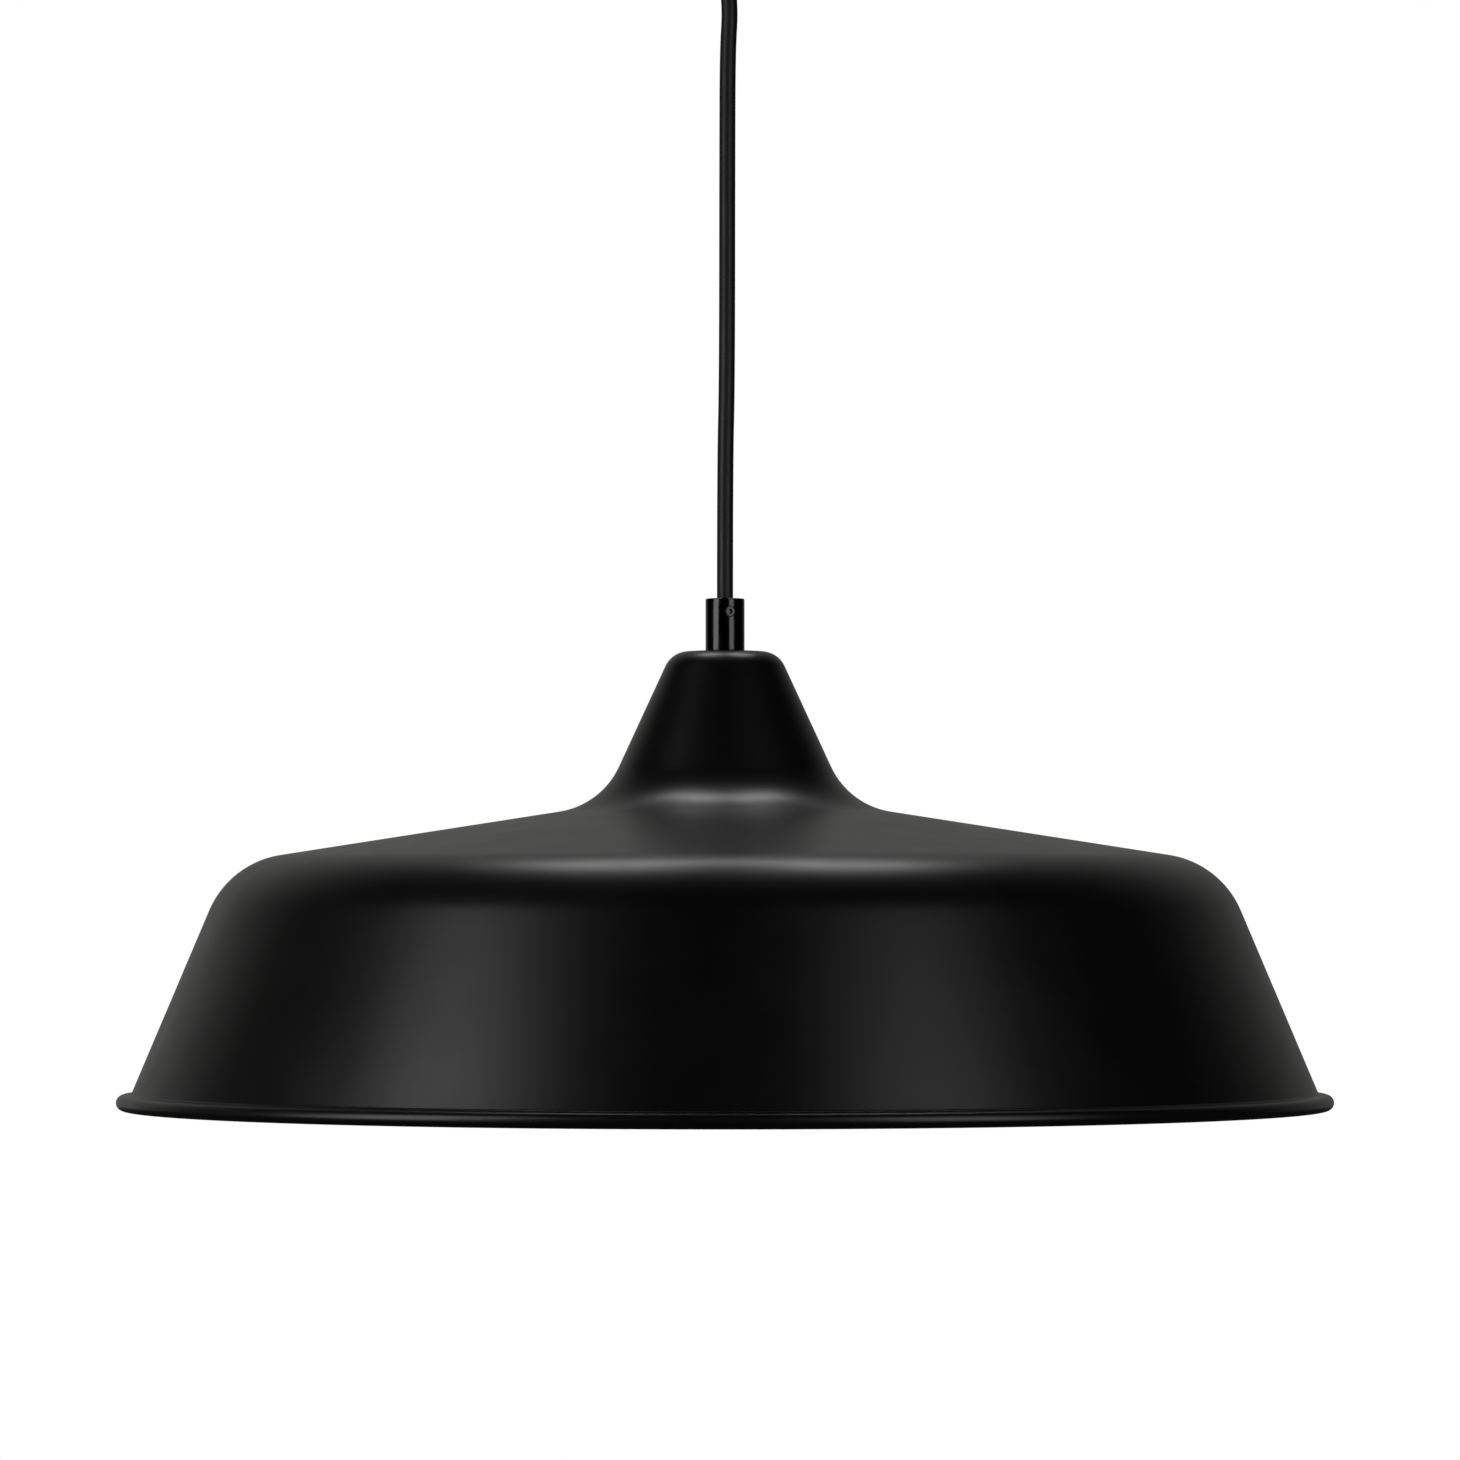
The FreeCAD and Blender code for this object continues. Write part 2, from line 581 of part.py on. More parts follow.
def make_holder_insert():
    """The heat-resistant core that carries the terminals and contacts."""
    body = turned("holder_insert", SHADE_TOP, [
        ("0", "-core_top"), ("core_radius", "-core_top"), ("core_radius", "-core_bottom"),
        ("0", "-core_bottom")])
    far = "(terminal_offset + terminal_length / 2 + clamp_gap)"
    near = "(terminal_offset - terminal_length / 2 - clamp_gap)"
    half = "(terminal_width / 2 + clamp_gap)"
    for side, (low, high) in {"Right": (near, far), "Left": (f"-{far}", f"-{near}")}.items():
        cut_pocket(body, rectangle(low, f"-{half}", high, half), "core_top + core_pocket_depth", side)
    drill(body, "YZ_Plane", [("0", "-(core_top + core_pocket_depth - clamp_gap - terminal_screw_height)",
                              "clamp_screw_head + clamp_gap")],
          "3 * core_radius", midplane=True, name="ScrewAccess")


def make_holder_terminals():
    """Two brass blocks in the core's pockets, each bored for a wire and tapped for its screw."""
    members = []
    for side in SIDES:
        body = new_body(f"holder_terminal_{'left' if side < 0 else 'right'}")
        half_length = "terminal_length / 2"
        half_width = "terminal_width / 2"
        pad(body, "XY_Plane", rectangle(f"-{half_length}", f"-{half_width}", half_length, half_width),
            "terminal_height")
        drill(body, "XY_Plane", [("-terminal_length / 5", "0", "wire_radius + 2 * tapped_gap")],
              "terminal_height", reverse=True, name="WireHole")
        drill(body, "YZ_Plane", [("0", "terminal_screw_height", "clamp_screw_shank + tapped_gap")],
              "terminal_length", name="Tapped", reverse=True)
        body.Placement = FreeCAD.Placement(Vector(0, 0, 0), Rotation(Vector(0, 0, 1), 90 - 90 * side))
        bind(body, x=f"{side} * terminal_offset",
             z=f"{SHADE_TOP} - core_top - core_pocket_depth + clamp_gap")
        members.append(body)
    compound("holder_terminals", members)


def make_holder_screws():
    """The two wire screws of the holder, driven in from the side."""
    height = f"{SHADE_TOP} - core_top - core_pocket_depth + clamp_gap + terminal_screw_height"
    seat = "(terminal_offset + terminal_length / 2 + clamp_gap)"
    screw_group("holder_terminal_screws", "clamp_screw", "terminal_length / 2",
                [(f"-{seat}", "0", height), (seat, "0", height)], Vector(0, 1, 0), (90.0, -90.0))


def make_holder_sleeve():
    """The outer sleeve, screwed up into the cap; it holds the core and guards the lamp's base."""
    turned("holder_sleeve", SHADE_TOP, [
        ("sleeve_inner", "-sleeve_top"), ("sleeve_collar", "-sleeve_top"),
        ("sleeve_collar", "-(cap_bottom + clamp_gap)"), ("sleeve_outer", "-(cap_bottom + clamp_gap)"),
        ("sleeve_end", "-sleeve_bottom", "cap_wall / 2"), ("sleeve_bore", "-sleeve_bottom", "cap_wall / 2"),
        ("sleeve_bore", "-sleeve_step"), ("sleeve_inner", "-sleeve_step")])


def make_holder_contact():
    """The centre contact, a strip folded down from the core towards the bulb's tip."""
    body = new_body("holder_contact")
    low = "-(core_bottom + tongue_drop)"
    outer = "-tongue_length / 2"
    pad(body, "XZ_Plane", [
        (outer, "-core_bottom"), (f"{outer} + 3 * tongue_thick", "-core_bottom"),
        ("-2 * tongue_thick", low), ("tongue_length / 3", low),
        ("tongue_length / 3", f"{low} - tongue_thick"),
        ("-2.3 * tongue_thick", f"{low} - tongue_thick"),
        (f"{outer} + 2.7 * tongue_thick", "-core_bottom - tongue_thick"),
        (outer, "-core_bottom - tongue_thick")], "tongue_width", midplane=True)
    bind(body, z=SHADE_TOP)


# ---------------------------------------------------------------- bulb

def make_bulb():
    """An A60 bulb in pieces, from the tip of its base to its globe."""
    turned("bulb_contact", SHADE_TOP, [
        ("0", "-tip_top"), ("tip_radius", "-tip_top", "0.3 * tip_radius"),
        ("tip_radius", "-tip_bottom"), ("0", "-tip_bottom")])
    turned("bulb_insulator", SHADE_TOP, [
        ("0", "-(tip_bottom + bulb_seam)"), ("tip_radius + glass_lip", "-(tip_bottom + bulb_seam)"),
        ("glass_radius", "-glass_bottom"), ("0", "-glass_bottom")])
    turned("bulb_screw_shell", SHADE_TOP, [
        ("glass_radius - base_lip", "-(glass_bottom + bulb_seam)"),
        ("glass_radius + base_step", "-(glass_bottom + bulb_seam)"),
        ("base_radius", "-base_top_edge", "0.1 * base_radius"), ("base_radius", "-base_bottom"),
        ("base_radius - base_thick", "-base_bottom"),
        ("base_radius - base_thick", "-(base_top_edge + base_thick)"),
        ("glass_radius - base_lip", "-(glass_bottom + bulb_seam + base_thick)")])
    turned("bulb_neck", SHADE_TOP, [
        ("neck_start - neck_wall", "-(base_bottom + bulb_seam)"),
        ("neck_start", "-(base_bottom + bulb_seam)"),
        ("neck_swell", "-neck_swell_depth", "globe_radius"), ("neck_join", "-neck_bottom"),
        ("neck_join - neck_wall", "-neck_bottom"),
        ("neck_swell - neck_wall", "-neck_swell_depth", "globe_radius")])
    globe = new_body("bulb_diffuser")
    sketch = new_sketch(globe, "XZ_Plane", "Globe")
    add_globe(sketch)
    revolution = globe.newObject("PartDesign::Revolution", "GlobeTurned")
    revolution.Profile = sketch
    revolution.ReferenceAxis = (sketch, ["V_Axis"])
    revolution.Angle = 360
    bind(globe, z=SHADE_TOP)
    turned("bulb_board", SHADE_TOP, [
        ("0", "-board_top"), ("board_radius", "-board_top"),
        ("board_radius", "-(board_top + board_thick)"), ("0", "-(board_top + board_thick)")])
    driver = document.addObject("Part::Box", "bulb_driver")
    driver.Label = "bulb_driver"
    bind(driver, Length="driver_width", Width="driver_thick", Height="driver_length",
         x="-driver_width / 2", y="-driver_thick / 2", z=f"{SHADE_TOP} - driver_top - driver_length")


def add_globe(sketch):
    """The globe's section: two arcs about one centre, cut off level where the neck begins."""
    centre = number("-globe_centre")
    top = number("-(neck_bottom + bulb_seam)")
    arcs = []
    for radius in (number("globe_radius"), number("globe_radius - globe_wall")):
        side = math.sqrt(radius ** 2 - (top - centre) ** 2)
        arc = Part.Arc(Vector(0, centre - radius, 0), Vector(radius, centre, 0), Vector(side, top, 0))
        arcs.append(sketch.addGeometry(arc, False))
    outer, inner = arcs
    for arc, radius in ((outer, "globe_radius"), (inner, "globe_radius - globe_wall")):
        fix(sketch, arc, 3, "0", "-globe_centre")
        held = sketch.addConstraint(Sketcher.Constraint("Radius", arc, number(radius)))
        sketch.setExpression(f"Constraints[{held}]", formula(radius))
        sketch.addConstraint(Sketcher.Constraint("PointOnObject", arc, 1, -2))
    low = [sketch.getPoint(arc, 1) for arc in arcs]
    high = [sketch.getPoint(arc, 2) for arc in arcs]
    bottom = sketch.addGeometry(Part.LineSegment(low[0], low[1]), False)
    rim = sketch.addGeometry(Part.LineSegment(high[0], high[1]), False)
    sketch.addConstraint(Sketcher.Constraint("Coincident", bottom, 1, outer, 1))
    sketch.addConstraint(Sketcher.Constraint("Coincident", bottom, 2, inner, 1))
    sketch.addConstraint(Sketcher.Constraint("Coincident", rim, 1, outer, 2))
    sketch.addConstraint(Sketcher.Constraint("Coincident", rim, 2, inner, 2))
    sketch.addConstraint(Sketcher.Constraint("Horizontal", rim))
    held = sketch.addConstraint(Sketcher.Constraint("DistanceY", -1, 1, rim, 1, top))
    sketch.setExpression(f"Constraints[{held}]", formula("-(neck_bottom + bulb_seam)"))


# ---------------------------------------------------------------- the cord and the wires

# The cord's route, top to bottom: sideways offset in X and the distance below the canopy grip's end.
# The lamp's weight pulls it straight but for the slight set that the cord keeps from its coil.
CORD_ROUTE = [(0.0, 6.4), (2.0, 19.0), (1.0, 36.0), (0.85, 70.0), (0.75, 160.0), (0.0, 190.0), (0.0, 242.0)]


def make_cord():
    end = number(CANOPY_GRIP_END)
    points = [Vector(x, 0, end - below) for x, below in CORD_ROUTE]
    tube_feature("cord", points, number("cord_radius"))


def wire_route(label, points):
    tube_feature(label, [Vector(*point) for point in points], number("wire_radius"))


# How the wires run inside, in millimetres: straight out of the sheath, then in easy bends.
WIRE_STRAIGHT = 3.0
WIRE_EASE = 2.5
WIRE_DIP = 1.0
EARTH_REACH = 4.0
LAMP_WIRE_STRAIGHT = 2.6
LAMP_WIRE_RISE = 2.0
LAMP_EARTH_REACH = 8.0
LAMP_EARTH_DIP = 3.2
LAMP_EARTH_RISE = 2.6


def make_canopy_wires():
    """Live and neutral to the terminal block, earth to the ring terminal on the bracket."""
    sheath = number(f"{CANOPY_FLOOR} + canopy_sheath_end")
    level = number("-strip_thick - clamp_drop")
    face = number("block_low_x + block_depth")
    stop = number(f"{BLOCK_MIDDLE} + clamp_length / 4")
    circle = number("wire_circle")
    third = math.radians(120)
    for name, side in (("live", -1), ("neutral", 1)):
        x = circle * math.cos(third)
        y = side * circle * math.sin(third)
        pole = side * number("pole_offset")
        wire_route(f"canopy_wire_{name}", [
            (x, y, sheath), (x, y, sheath + WIRE_STRAIGHT),
            (x - WIRE_EASE, (y + pole) / 2, level - WIRE_DIP),
            (face + WIRE_EASE, pole, level), (stop, pole, level)])
    ring_edge = number("earth_position - ring_radius - clamp_gap")
    lug = number("-strip_thick - ring_thick - tapped_gap - wire_radius / 2")
    wire_route("canopy_wire_earth", [
        (circle, 0, sheath), (circle, 0, sheath + 2 * WIRE_STRAIGHT),
        (circle + EARTH_REACH, 0, lug - WIRE_DIP), (ring_edge, 0, lug)])


def make_lamp_wires():
    """Live and neutral to the holder's terminals, earth to the screw on its metal insert."""
    sheath = number(f"{SHADE_TOP} - lamp_sheath_end")
    circle = number("wire_circle")
    core = number(f"{SHADE_TOP} - core_top")
    depth = number("(core_pocket_depth - clamp_gap) / 2")
    offset = number("terminal_offset - terminal_length / 5")
    for name, side in (("live", -1), ("neutral", 1)):
        wire_route(f"lamp_wire_{name}", [
            (side * circle, 0, sheath), (side * circle, 0, sheath - LAMP_WIRE_STRAIGHT),
            (side * offset, 0, core + LAMP_WIRE_RISE), (side * offset, 0, core - depth)])
    screw_head = "socket_radius + earth_pin_length + clamp_screw_head_height + 2 * clamp_gap"
    beside = number(f"{screw_head} + wire_radius")
    wire_route("lamp_wire_earth", [
        (0, -circle, sheath), (0, -circle, sheath - LAMP_WIRE_STRAIGHT),
        (0, -LAMP_EARTH_REACH, sheath - LAMP_EARTH_DIP),
        (0, -beside, sheath - WIRE_DIP), (0, -beside, sheath + LAMP_EARTH_RISE)])


# ---------------------------------------------------------------- the whole light

def make_ceiling_fitting():
    make_bracket()
    make_canopy()
    make_side_screws()
    make_terminal_block()
    make_terminal_clamps()
    make_terminal_screws()
    make_block_screw()
    make_earth_screw()
    make_earth_ring()
    make_grip("canopy_grip", CANOPY_FLOOR, upward=False)
    make_grub("canopy_grip_screw", CANOPY_FLOOR, upward=False)
    ring("canopy_tube", f"{CANOPY_FLOOR} + canopy_tube_length - socket_depth + tube_end_gap",
         "tube_radius", "tube_bore", "canopy_tube_length")
    ring("canopy_washer", f"{CANOPY_FLOOR} + canopy_thick + washer_thick",
         "washer_radius", "socket_radius", "washer_thick")
    make_nut("canopy_nut", f"{CANOPY_FLOOR} + canopy_thick + washer_thick + nut_thick")
    cylinder("cord_canopy_end", "cord_radius", "grip_height + canopy_sheath_end", CANOPY_GRIP_END)
    make_canopy_wires()


def make_lamp_head():
    make_grip("lamp_grip", SHADE_TOP, upward=True)
    make_grub("lamp_grip_screw", SHADE_TOP, upward=True)
    ring("lamp_tube", f"{SHADE_TOP} + socket_depth - tube_end_gap", "tube_radius", "tube_bore",
         "lamp_tube_length")
    make_shade()
    ring("shade_washer", f"{SHADE_TOP} - sheet_thick", "washer_radius", "socket_radius", "washer_thick")
    make_nut("shade_nut", f"{SHADE_TOP} - sheet_thick - washer_thick")
    cylinder("cord_lamp_end", "cord_radius",
             "grip_height - cord_tuck - cord_joint_gap + lamp_sheath_end", f"{SHADE_TOP} - lamp_sheath_end")
    make_lamp_wires()
    make_holder_cap()
    make_holder_thread()
    make_holder_earth_screw()
    make_holder_insert()
    make_holder_terminals()
    make_holder_screws()
    make_holder_sleeve()
    ring("holder_screw_shell", f"{SHADE_TOP} - shell_top", "shell_outer", "shell_inner",
         "shell_bottom - shell_top")
    make_holder_contact()
    make_bulb()


def make_flexing_cord():
    """The stretch of cord that bends when the lamp swings, as a ball about the swing's centre."""
    ball = document.addObject("Part::Sphere", "cord_flex")
    ball.Label = "cord_flex"
    bind(ball, Radius="flex_radius", z=PIVOT)


def check_and_export():
    """Stop on any failed object or bad shape, then write one STEP file for each piece."""
    for item in document.Objects:
        if "Invalid" in item.State or "Error" in item.State:
            raise RuntimeError(f"{item.Label} did not recompute")
    grouped = [member for item in document.Objects if item.isDerivedFrom("Part::Compound")
               for member in item.Links]
    tools = [member for item in document.Objects if item.isDerivedFrom("Part::Cut")
             for member in (item.Base, item.Tool)]
    inner = set(member.Name for member in grouped + tools)
    os.makedirs("parts", exist_ok=True)
    for item in document.Objects:
        is_piece = item.isDerivedFrom("PartDesign::Body") or (
            item.isDerivedFrom("Part::Feature") and item.getParentGeoFeatureGroup() is None)
        if not is_piece or item.Name in inner:
            continue
        shape = item.Shape
        if shape.isNull() or not shape.isValid() or not shape.Solids or shape.Volume <= 0:
            raise RuntimeError(f"{item.Label} has no valid solid")
        shape.exportStep(f"parts/{item.Label}.step")
        print(f"{item.Label:24s} {len(shape.Solids)} solid(s) {shape.Volume:12.1f} mm3  "
              f"z {shape.BoundBox.ZMin:.2f} to {shape.BoundBox.ZMax:.2f}")


make_ceiling_fitting()
make_flexing_cord()
make_cord()
make_lamp_head()
document.recompute()
check_and_export()
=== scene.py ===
import json
import math

import bmesh
import bpy
from mathutils import Matrix, Vector


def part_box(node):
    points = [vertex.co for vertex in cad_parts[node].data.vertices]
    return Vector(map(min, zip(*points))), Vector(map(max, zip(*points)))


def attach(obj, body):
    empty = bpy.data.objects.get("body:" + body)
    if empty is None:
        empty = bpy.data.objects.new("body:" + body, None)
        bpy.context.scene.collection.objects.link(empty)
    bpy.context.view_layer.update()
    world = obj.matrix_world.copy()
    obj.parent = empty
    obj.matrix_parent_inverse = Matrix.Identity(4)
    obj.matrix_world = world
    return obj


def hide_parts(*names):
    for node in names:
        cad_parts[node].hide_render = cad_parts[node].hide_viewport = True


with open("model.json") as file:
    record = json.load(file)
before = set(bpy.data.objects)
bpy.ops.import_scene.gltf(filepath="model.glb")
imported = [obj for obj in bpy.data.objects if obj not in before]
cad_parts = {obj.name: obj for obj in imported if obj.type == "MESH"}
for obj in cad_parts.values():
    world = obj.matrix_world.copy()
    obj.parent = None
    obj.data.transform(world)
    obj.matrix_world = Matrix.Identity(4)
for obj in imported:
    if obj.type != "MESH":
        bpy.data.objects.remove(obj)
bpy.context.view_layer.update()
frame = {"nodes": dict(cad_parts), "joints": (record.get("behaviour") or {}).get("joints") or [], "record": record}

# Pendant ceiling light. Metres, +Z up, the origin at the centre of the ceiling bracket.
# Profiles are in millimetres, like the drawing of the part, and are scaled as they are built.

MM = 0.001

SHADE_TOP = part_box("shade")[1].z
SHADE_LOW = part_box("shade")[0].z
CANOPY_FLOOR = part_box("canopy_cup")[0].z
CANOPY_GRIP_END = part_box("canopy_grip")[0].z
LAMP_GRIP_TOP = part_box("lamp_grip")[1].z
GRIP_HEIGHT = (LAMP_GRIP_TOP - SHADE_TOP) / MM
GRIP_RADIUS = 7.25
CORD_RADIUS = 3.0
PIVOT = frame["joints"][0]["pos_m"][2]
BORE = 5.05                   # what an M10 tube passes through
FRONT = Matrix.Rotation(math.radians(90), 4, "X")     # turns +Z to the front, -Y


# ---------------------------------------------------------------- camera

VIEW_WIDTH = 0.5420           # at the lamp's axis
DISTANCE = 2.5
SENSOR = 36.0
CAMERA_LEVEL = SHADE_LOW + 0.079
LOOK_AT = Vector((0.00185, 0.0, SHADE_TOP - 0.0292))


def make_camera():
    data = bpy.data.cameras.new("camera")
    data.sensor_width = SENSOR
    data.lens = SENSOR * DISTANCE / VIEW_WIDTH
    camera = bpy.data.objects.new("camera", data)
    bpy.context.scene.collection.objects.link(camera)
    camera.location = (LOOK_AT.x, -DISTANCE, CAMERA_LEVEL)
    camera.rotation_mode = "QUATERNION"
    camera.rotation_quaternion = (LOOK_AT - camera.location).to_track_quat("-Z", "Y")
    data.clip_start = 0.1
    data.clip_end = 50
    bpy.context.scene.camera = camera


make_camera()


# ---------------------------------------------------------------- mesh helpers

def rounded(corners, closed=True, step=5.0):
    """The points of an outline whose corners are (x, z) or (x, z, rounding)."""
    points = [Vector((corner[0], corner[1])) for corner in corners]
    count = len(points)
    path = []
    for spot, corner in enumerate(corners):
        point = points[spot]
        ends = not closed and spot in (0, count - 1)
        if len(corner) == 2 or ends or corner[2] <= 0:
            path.append(point)
            continue
        back = (points[spot - 1] - point).normalized()
        ahead = (points[(spot + 1) % count] - point).normalized()
        half = back.angle(ahead) / 2
        radius = corner[2]
        centre = point + (back + ahead).normalized() * (radius / math.sin(half))
        start = point + back * (radius / math.tan(half)) - centre
        turn = math.pi - 2 * half
        if start.y * back.x - start.x * back.y < 0:
            turn = -turn
        pieces = max(2, math.ceil(abs(math.degrees(turn)) / step))
        for piece in range(pieces + 1):
            angle = turn * piece / pieces
            path.append(centre + Vector((
                start.x * math.cos(angle) - start.y * math.sin(angle),
                start.x * math.sin(angle) + start.y * math.cos(angle))))
    return path


def subdivided(path, longest, closed=True):
    """The same outline with long stretches cut into even shorter ones."""
    result = []
    count = len(path)
    for spot in range(count if closed else count - 1):
        a = path[spot]
        b = path[(spot + 1) % count]
        pieces = max(1, math.ceil((b - a).length / longest))
        for piece in range(pieces):
            result.append(a.lerp(b, piece / pieces))
    if not closed:
        result.append(path[-1])
    return result


def finish_mesh(name, bm, material=None, sharp=35.0):
    bmesh.ops.remove_doubles(bm, verts=bm.verts, dist=1e-7)
    bmesh.ops.recalc_face_normals(bm, faces=bm.faces)
    mesh = bpy.data.meshes.new(name)
    bm.to_mesh(mesh)
    bm.free()
    for polygon in mesh.polygons:
        polygon.use_smooth = True
    mesh.set_sharp_from_angle(angle=math.radians(sharp))
    item = bpy.data.objects.new(name, mesh)
    bpy.context.scene.collection.objects.link(item)
    if material:
        mesh.materials.append(material)
    return item


def lathe(name, path, material, segments=160, closed=True, level=0.0, sharp=35.0, wave=None):
    """Turn a path of (radius, height) millimetre points about Z; level lifts it, in metres.

    wave(radius, height, angle) may return a new radius for each point.
    """
    bm = bmesh.new()
    rings = []
    for point in path:
        if point.x < 1e-6:
            rings.append([bm.verts.new((0, 0, point.y * MM + level))])
            continue
        ring = []
        for segment in range(segments):
            angle = 2 * math.pi * segment / segments
            radius = wave(point.x, point.y, angle) if wave else point.x
            ring.append(bm.verts.new((radius * MM * math.cos(angle), radius * MM * math.sin(angle),
                                      point.y * MM + level)))
        rings.append(ring)
    spans = len(rings) if closed else len(rings) - 1
    for spot in range(spans):
        low = rings[spot]
        high = rings[(spot + 1) % len(rings)]
        for segment in range(segments):
            after = (segment + 1) % segments
            if len(low) == 1 and len(high) == 1:
                break
            if len(low) == 1:
                bm.faces.new((low[0], high[segment], high[after]))
            elif len(high) == 1:
                bm.faces.new((low[segment], high[0], low[after]))
            else:
                bm.faces.new((low[segment], high[segment], high[after], low[after]))
    return finish_mesh(name, bm, material, sharp)


def combine(item, tool, operation="DIFFERENCE"):
    """Keep what a boolean of two meshes leaves in the first one, and drop the second."""
    modifier = item.modifiers.new("shape", "BOOLEAN")
    modifier.operation = operation
    modifier.solver = "EXACT"
    modifier.object = tool
    graph = bpy.context.evaluated_depsgraph_get()
    mesh = bpy.data.meshes.new_from_object(item.evaluated_get(graph))
    item.modifiers.clear()
    item.data = mesh
    mesh.set_sharp_from_angle(angle=math.radians(35))
    bpy.data.objects.remove(tool)


def moved(item, matrix):
    item.data.transform(matrix)
    return item


def shift(x=0.0, y=0.0, z=0.0):
    """A move by millimetres."""
    return Matrix.Translation((x * MM, y * MM, z * MM))


def put(item, body, node):
    """Join a piece to its body and let it stand for its CAD node."""
    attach(item, body)
    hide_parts(node)


def join(name, items):
    """Several meshes as one object, keeping their materials."""
    bm = bmesh.new()
    materials = []
    for item in items:
        start = len(bm.faces)
        bm.from_mesh(item.data)
        bm.faces.ensure_lookup_table()
        places = []
        for material in item.data.materials:
            if material not in materials:
                materials.append(material)
            places.append(materials.index(material))
        for face in bm.faces[start:]:
            face.material_index = places[face.material_index]
        bpy.data.objects.remove(item)
    mesh = bpy.data.meshes.new(name)
    bm.to_mesh(mesh)
    bm.free()
    for material in materials:
        mesh.materials.append(material)
    mesh.set_sharp_from_angle(angle=math.radians(35))
    result = bpy.data.objects.new(name, mesh)
    bpy.context.scene.collection.objects.link(result)
    return result


def ridge(height, angle, pitch):
    """How high a right-handed round thread stands here, 0 to 1."""
    return 0.5 + 0.5 * math.cos(2 * math.pi * height / pitch - angle)


def fade(value, low, high, run):
    """1 between low and high, falling to 0 over a short run inside each end."""
    return max(0.0, min(1.0, (value - low) / run, (high - value) / run))


# ---------------------------------------------------------------- materials

def node_material(name, color, roughness, metallic=0.0, **sockets):
    """A Principled material and the pieces needed to add texture to it."""
    material = bpy.data.materials.new(name)
    material.use_nodes = True
    shader = material.node_tree.nodes["Principled BSDF"]
    shader.inputs["Base Color"].default_value = (*color, 1)
    shader.inputs["Roughness"].default_value = roughness
    shader.inputs["Metallic"].default_value = metallic
    for socket, value in sockets.items():
        shader.inputs[socket.replace("_", " ")].default_value = value
    material.diffuse_color = (*color, 1)
    return material, material.node_tree, shader


def coordinates(tree, scale):
    place = tree.nodes.new("ShaderNodeTexCoord")
    mapping = tree.nodes.new("ShaderNodeMapping")
    mapping.inputs["Scale"].default_value = scale
    tree.links.new(place.outputs["Object"], mapping.inputs["Vector"])
    return mapping.outputs["Vector"]


def noise(tree, scale, detail=3.0, stretch=(1, 1, 1)):
    texture = tree.nodes.new("ShaderNodeTexNoise")
    texture.inputs["Scale"].default_value = scale
    texture.inputs["Detail"].default_value = detail
    tree.links.new(coordinates(tree, stretch), texture.inputs["Vector"])
    return texture.outputs["Fac"]


def map_range(tree, value, start, end, low=0.0, high=1.0, smooth=False):
    """A value between start and end mapped to between low and high."""
    remap = tree.nodes.new("ShaderNodeMapRange")
    if smooth:
        remap.interpolation_type = "SMOOTHSTEP"
    for socket, number in (("From Min", start), ("From Max", end), ("To Min", low), ("To Max", high)):
        remap.inputs[socket].default_value = number
    tree.links.new(value, remap.inputs["Value"])
    return remap.outputs["Result"]


def multiply(tree, value):
    """A node that multiplies value by its second input."""
    product = tree.nodes.new("ShaderNodeMath")
    product.operation = "MULTIPLY"
    tree.links.new(value, product.inputs[0])
    return product


def vary_roughness(tree, shader, texture, low, high):
    """Let a noise, which mostly lies between 0.25 and 0.75, move the roughness from low to high."""
    tree.links.new(map_range(tree, texture, 0.25, 0.75, low, high), shader.inputs["Roughness"])


def add_bump(tree, shader, value, distance, strength=1.0):
    bump = tree.nodes.new("ShaderNodeBump")
    bump.inputs["Distance"].default_value = distance
    bump.inputs["Strength"].default_value = strength
    tree.links.new(value, bump.inputs["Height"])
    if shader.inputs["Normal"].is_linked:
        tree.links.new(shader.inputs["Normal"].links[0].from_socket, bump.inputs["Normal"])
    tree.links.new(bump.outputs["Normal"], shader.inputs["Normal"])


def color_between(tree, shader, value, first, second):
    mix = tree.nodes.new("ShaderNodeMix")
    mix.data_type = "RGBA"
    mix.inputs["A"].default_value = (*first, 1)
    mix.inputs["B"].default_value = (*second, 1)
    tree.links.new(value, mix.inputs["Factor"])
    tree.links.new(mix.outputs["Result"], shader.inputs["Base Color"])


def turned_lines(tree, per_metre):
    """Fine rings round the Z axis, as a lathe or a spinning tool leaves them."""
    texture = tree.nodes.new("ShaderNodeTexNoise")
    texture.inputs["Scale"].default_value = 1.0
    texture.inputs["Detail"].default_value = 2.0
    tree.links.new(coordinates(tree, (6, 6, per_metre)), texture.inputs["Vector"])
    return texture.outputs["Fac"]


def satin_black():
    material, tree, shader = node_material("satin_black", (0.0013, 0.0014, 0.0012), 0.36)
    vary_roughness(tree, shader, noise(tree, 45.0, 4.0), 0.33, 0.38)
    add_bump(tree, shader, noise(tree, 1800.0, 2.0), 0.000012)
    add_bump(tree, shader, turned_lines(tree, 900.0), 0.000004)
    return material


def white_lacquer():
    material, tree, shader = node_material("white_lacquer", (0.83, 0.83, 0.80), 0.42)
    vary_roughness(tree, shader, noise(tree, 60.0, 4.0), 0.38, 0.46)
    add_bump(tree, shader, noise(tree, 1500.0, 2.0), 0.00002)
    return material


def black_nickel():
    material, tree, shader = node_material("black_nickel", (0.05, 0.05, 0.052), 0.16, 1.0)
    vary_roughness(tree, shader, noise(tree, 300.0, 3.0), 0.13, 0.20)
    add_bump(tree, shader, turned_lines(tree, 9000.0), 0.000003)
    return material


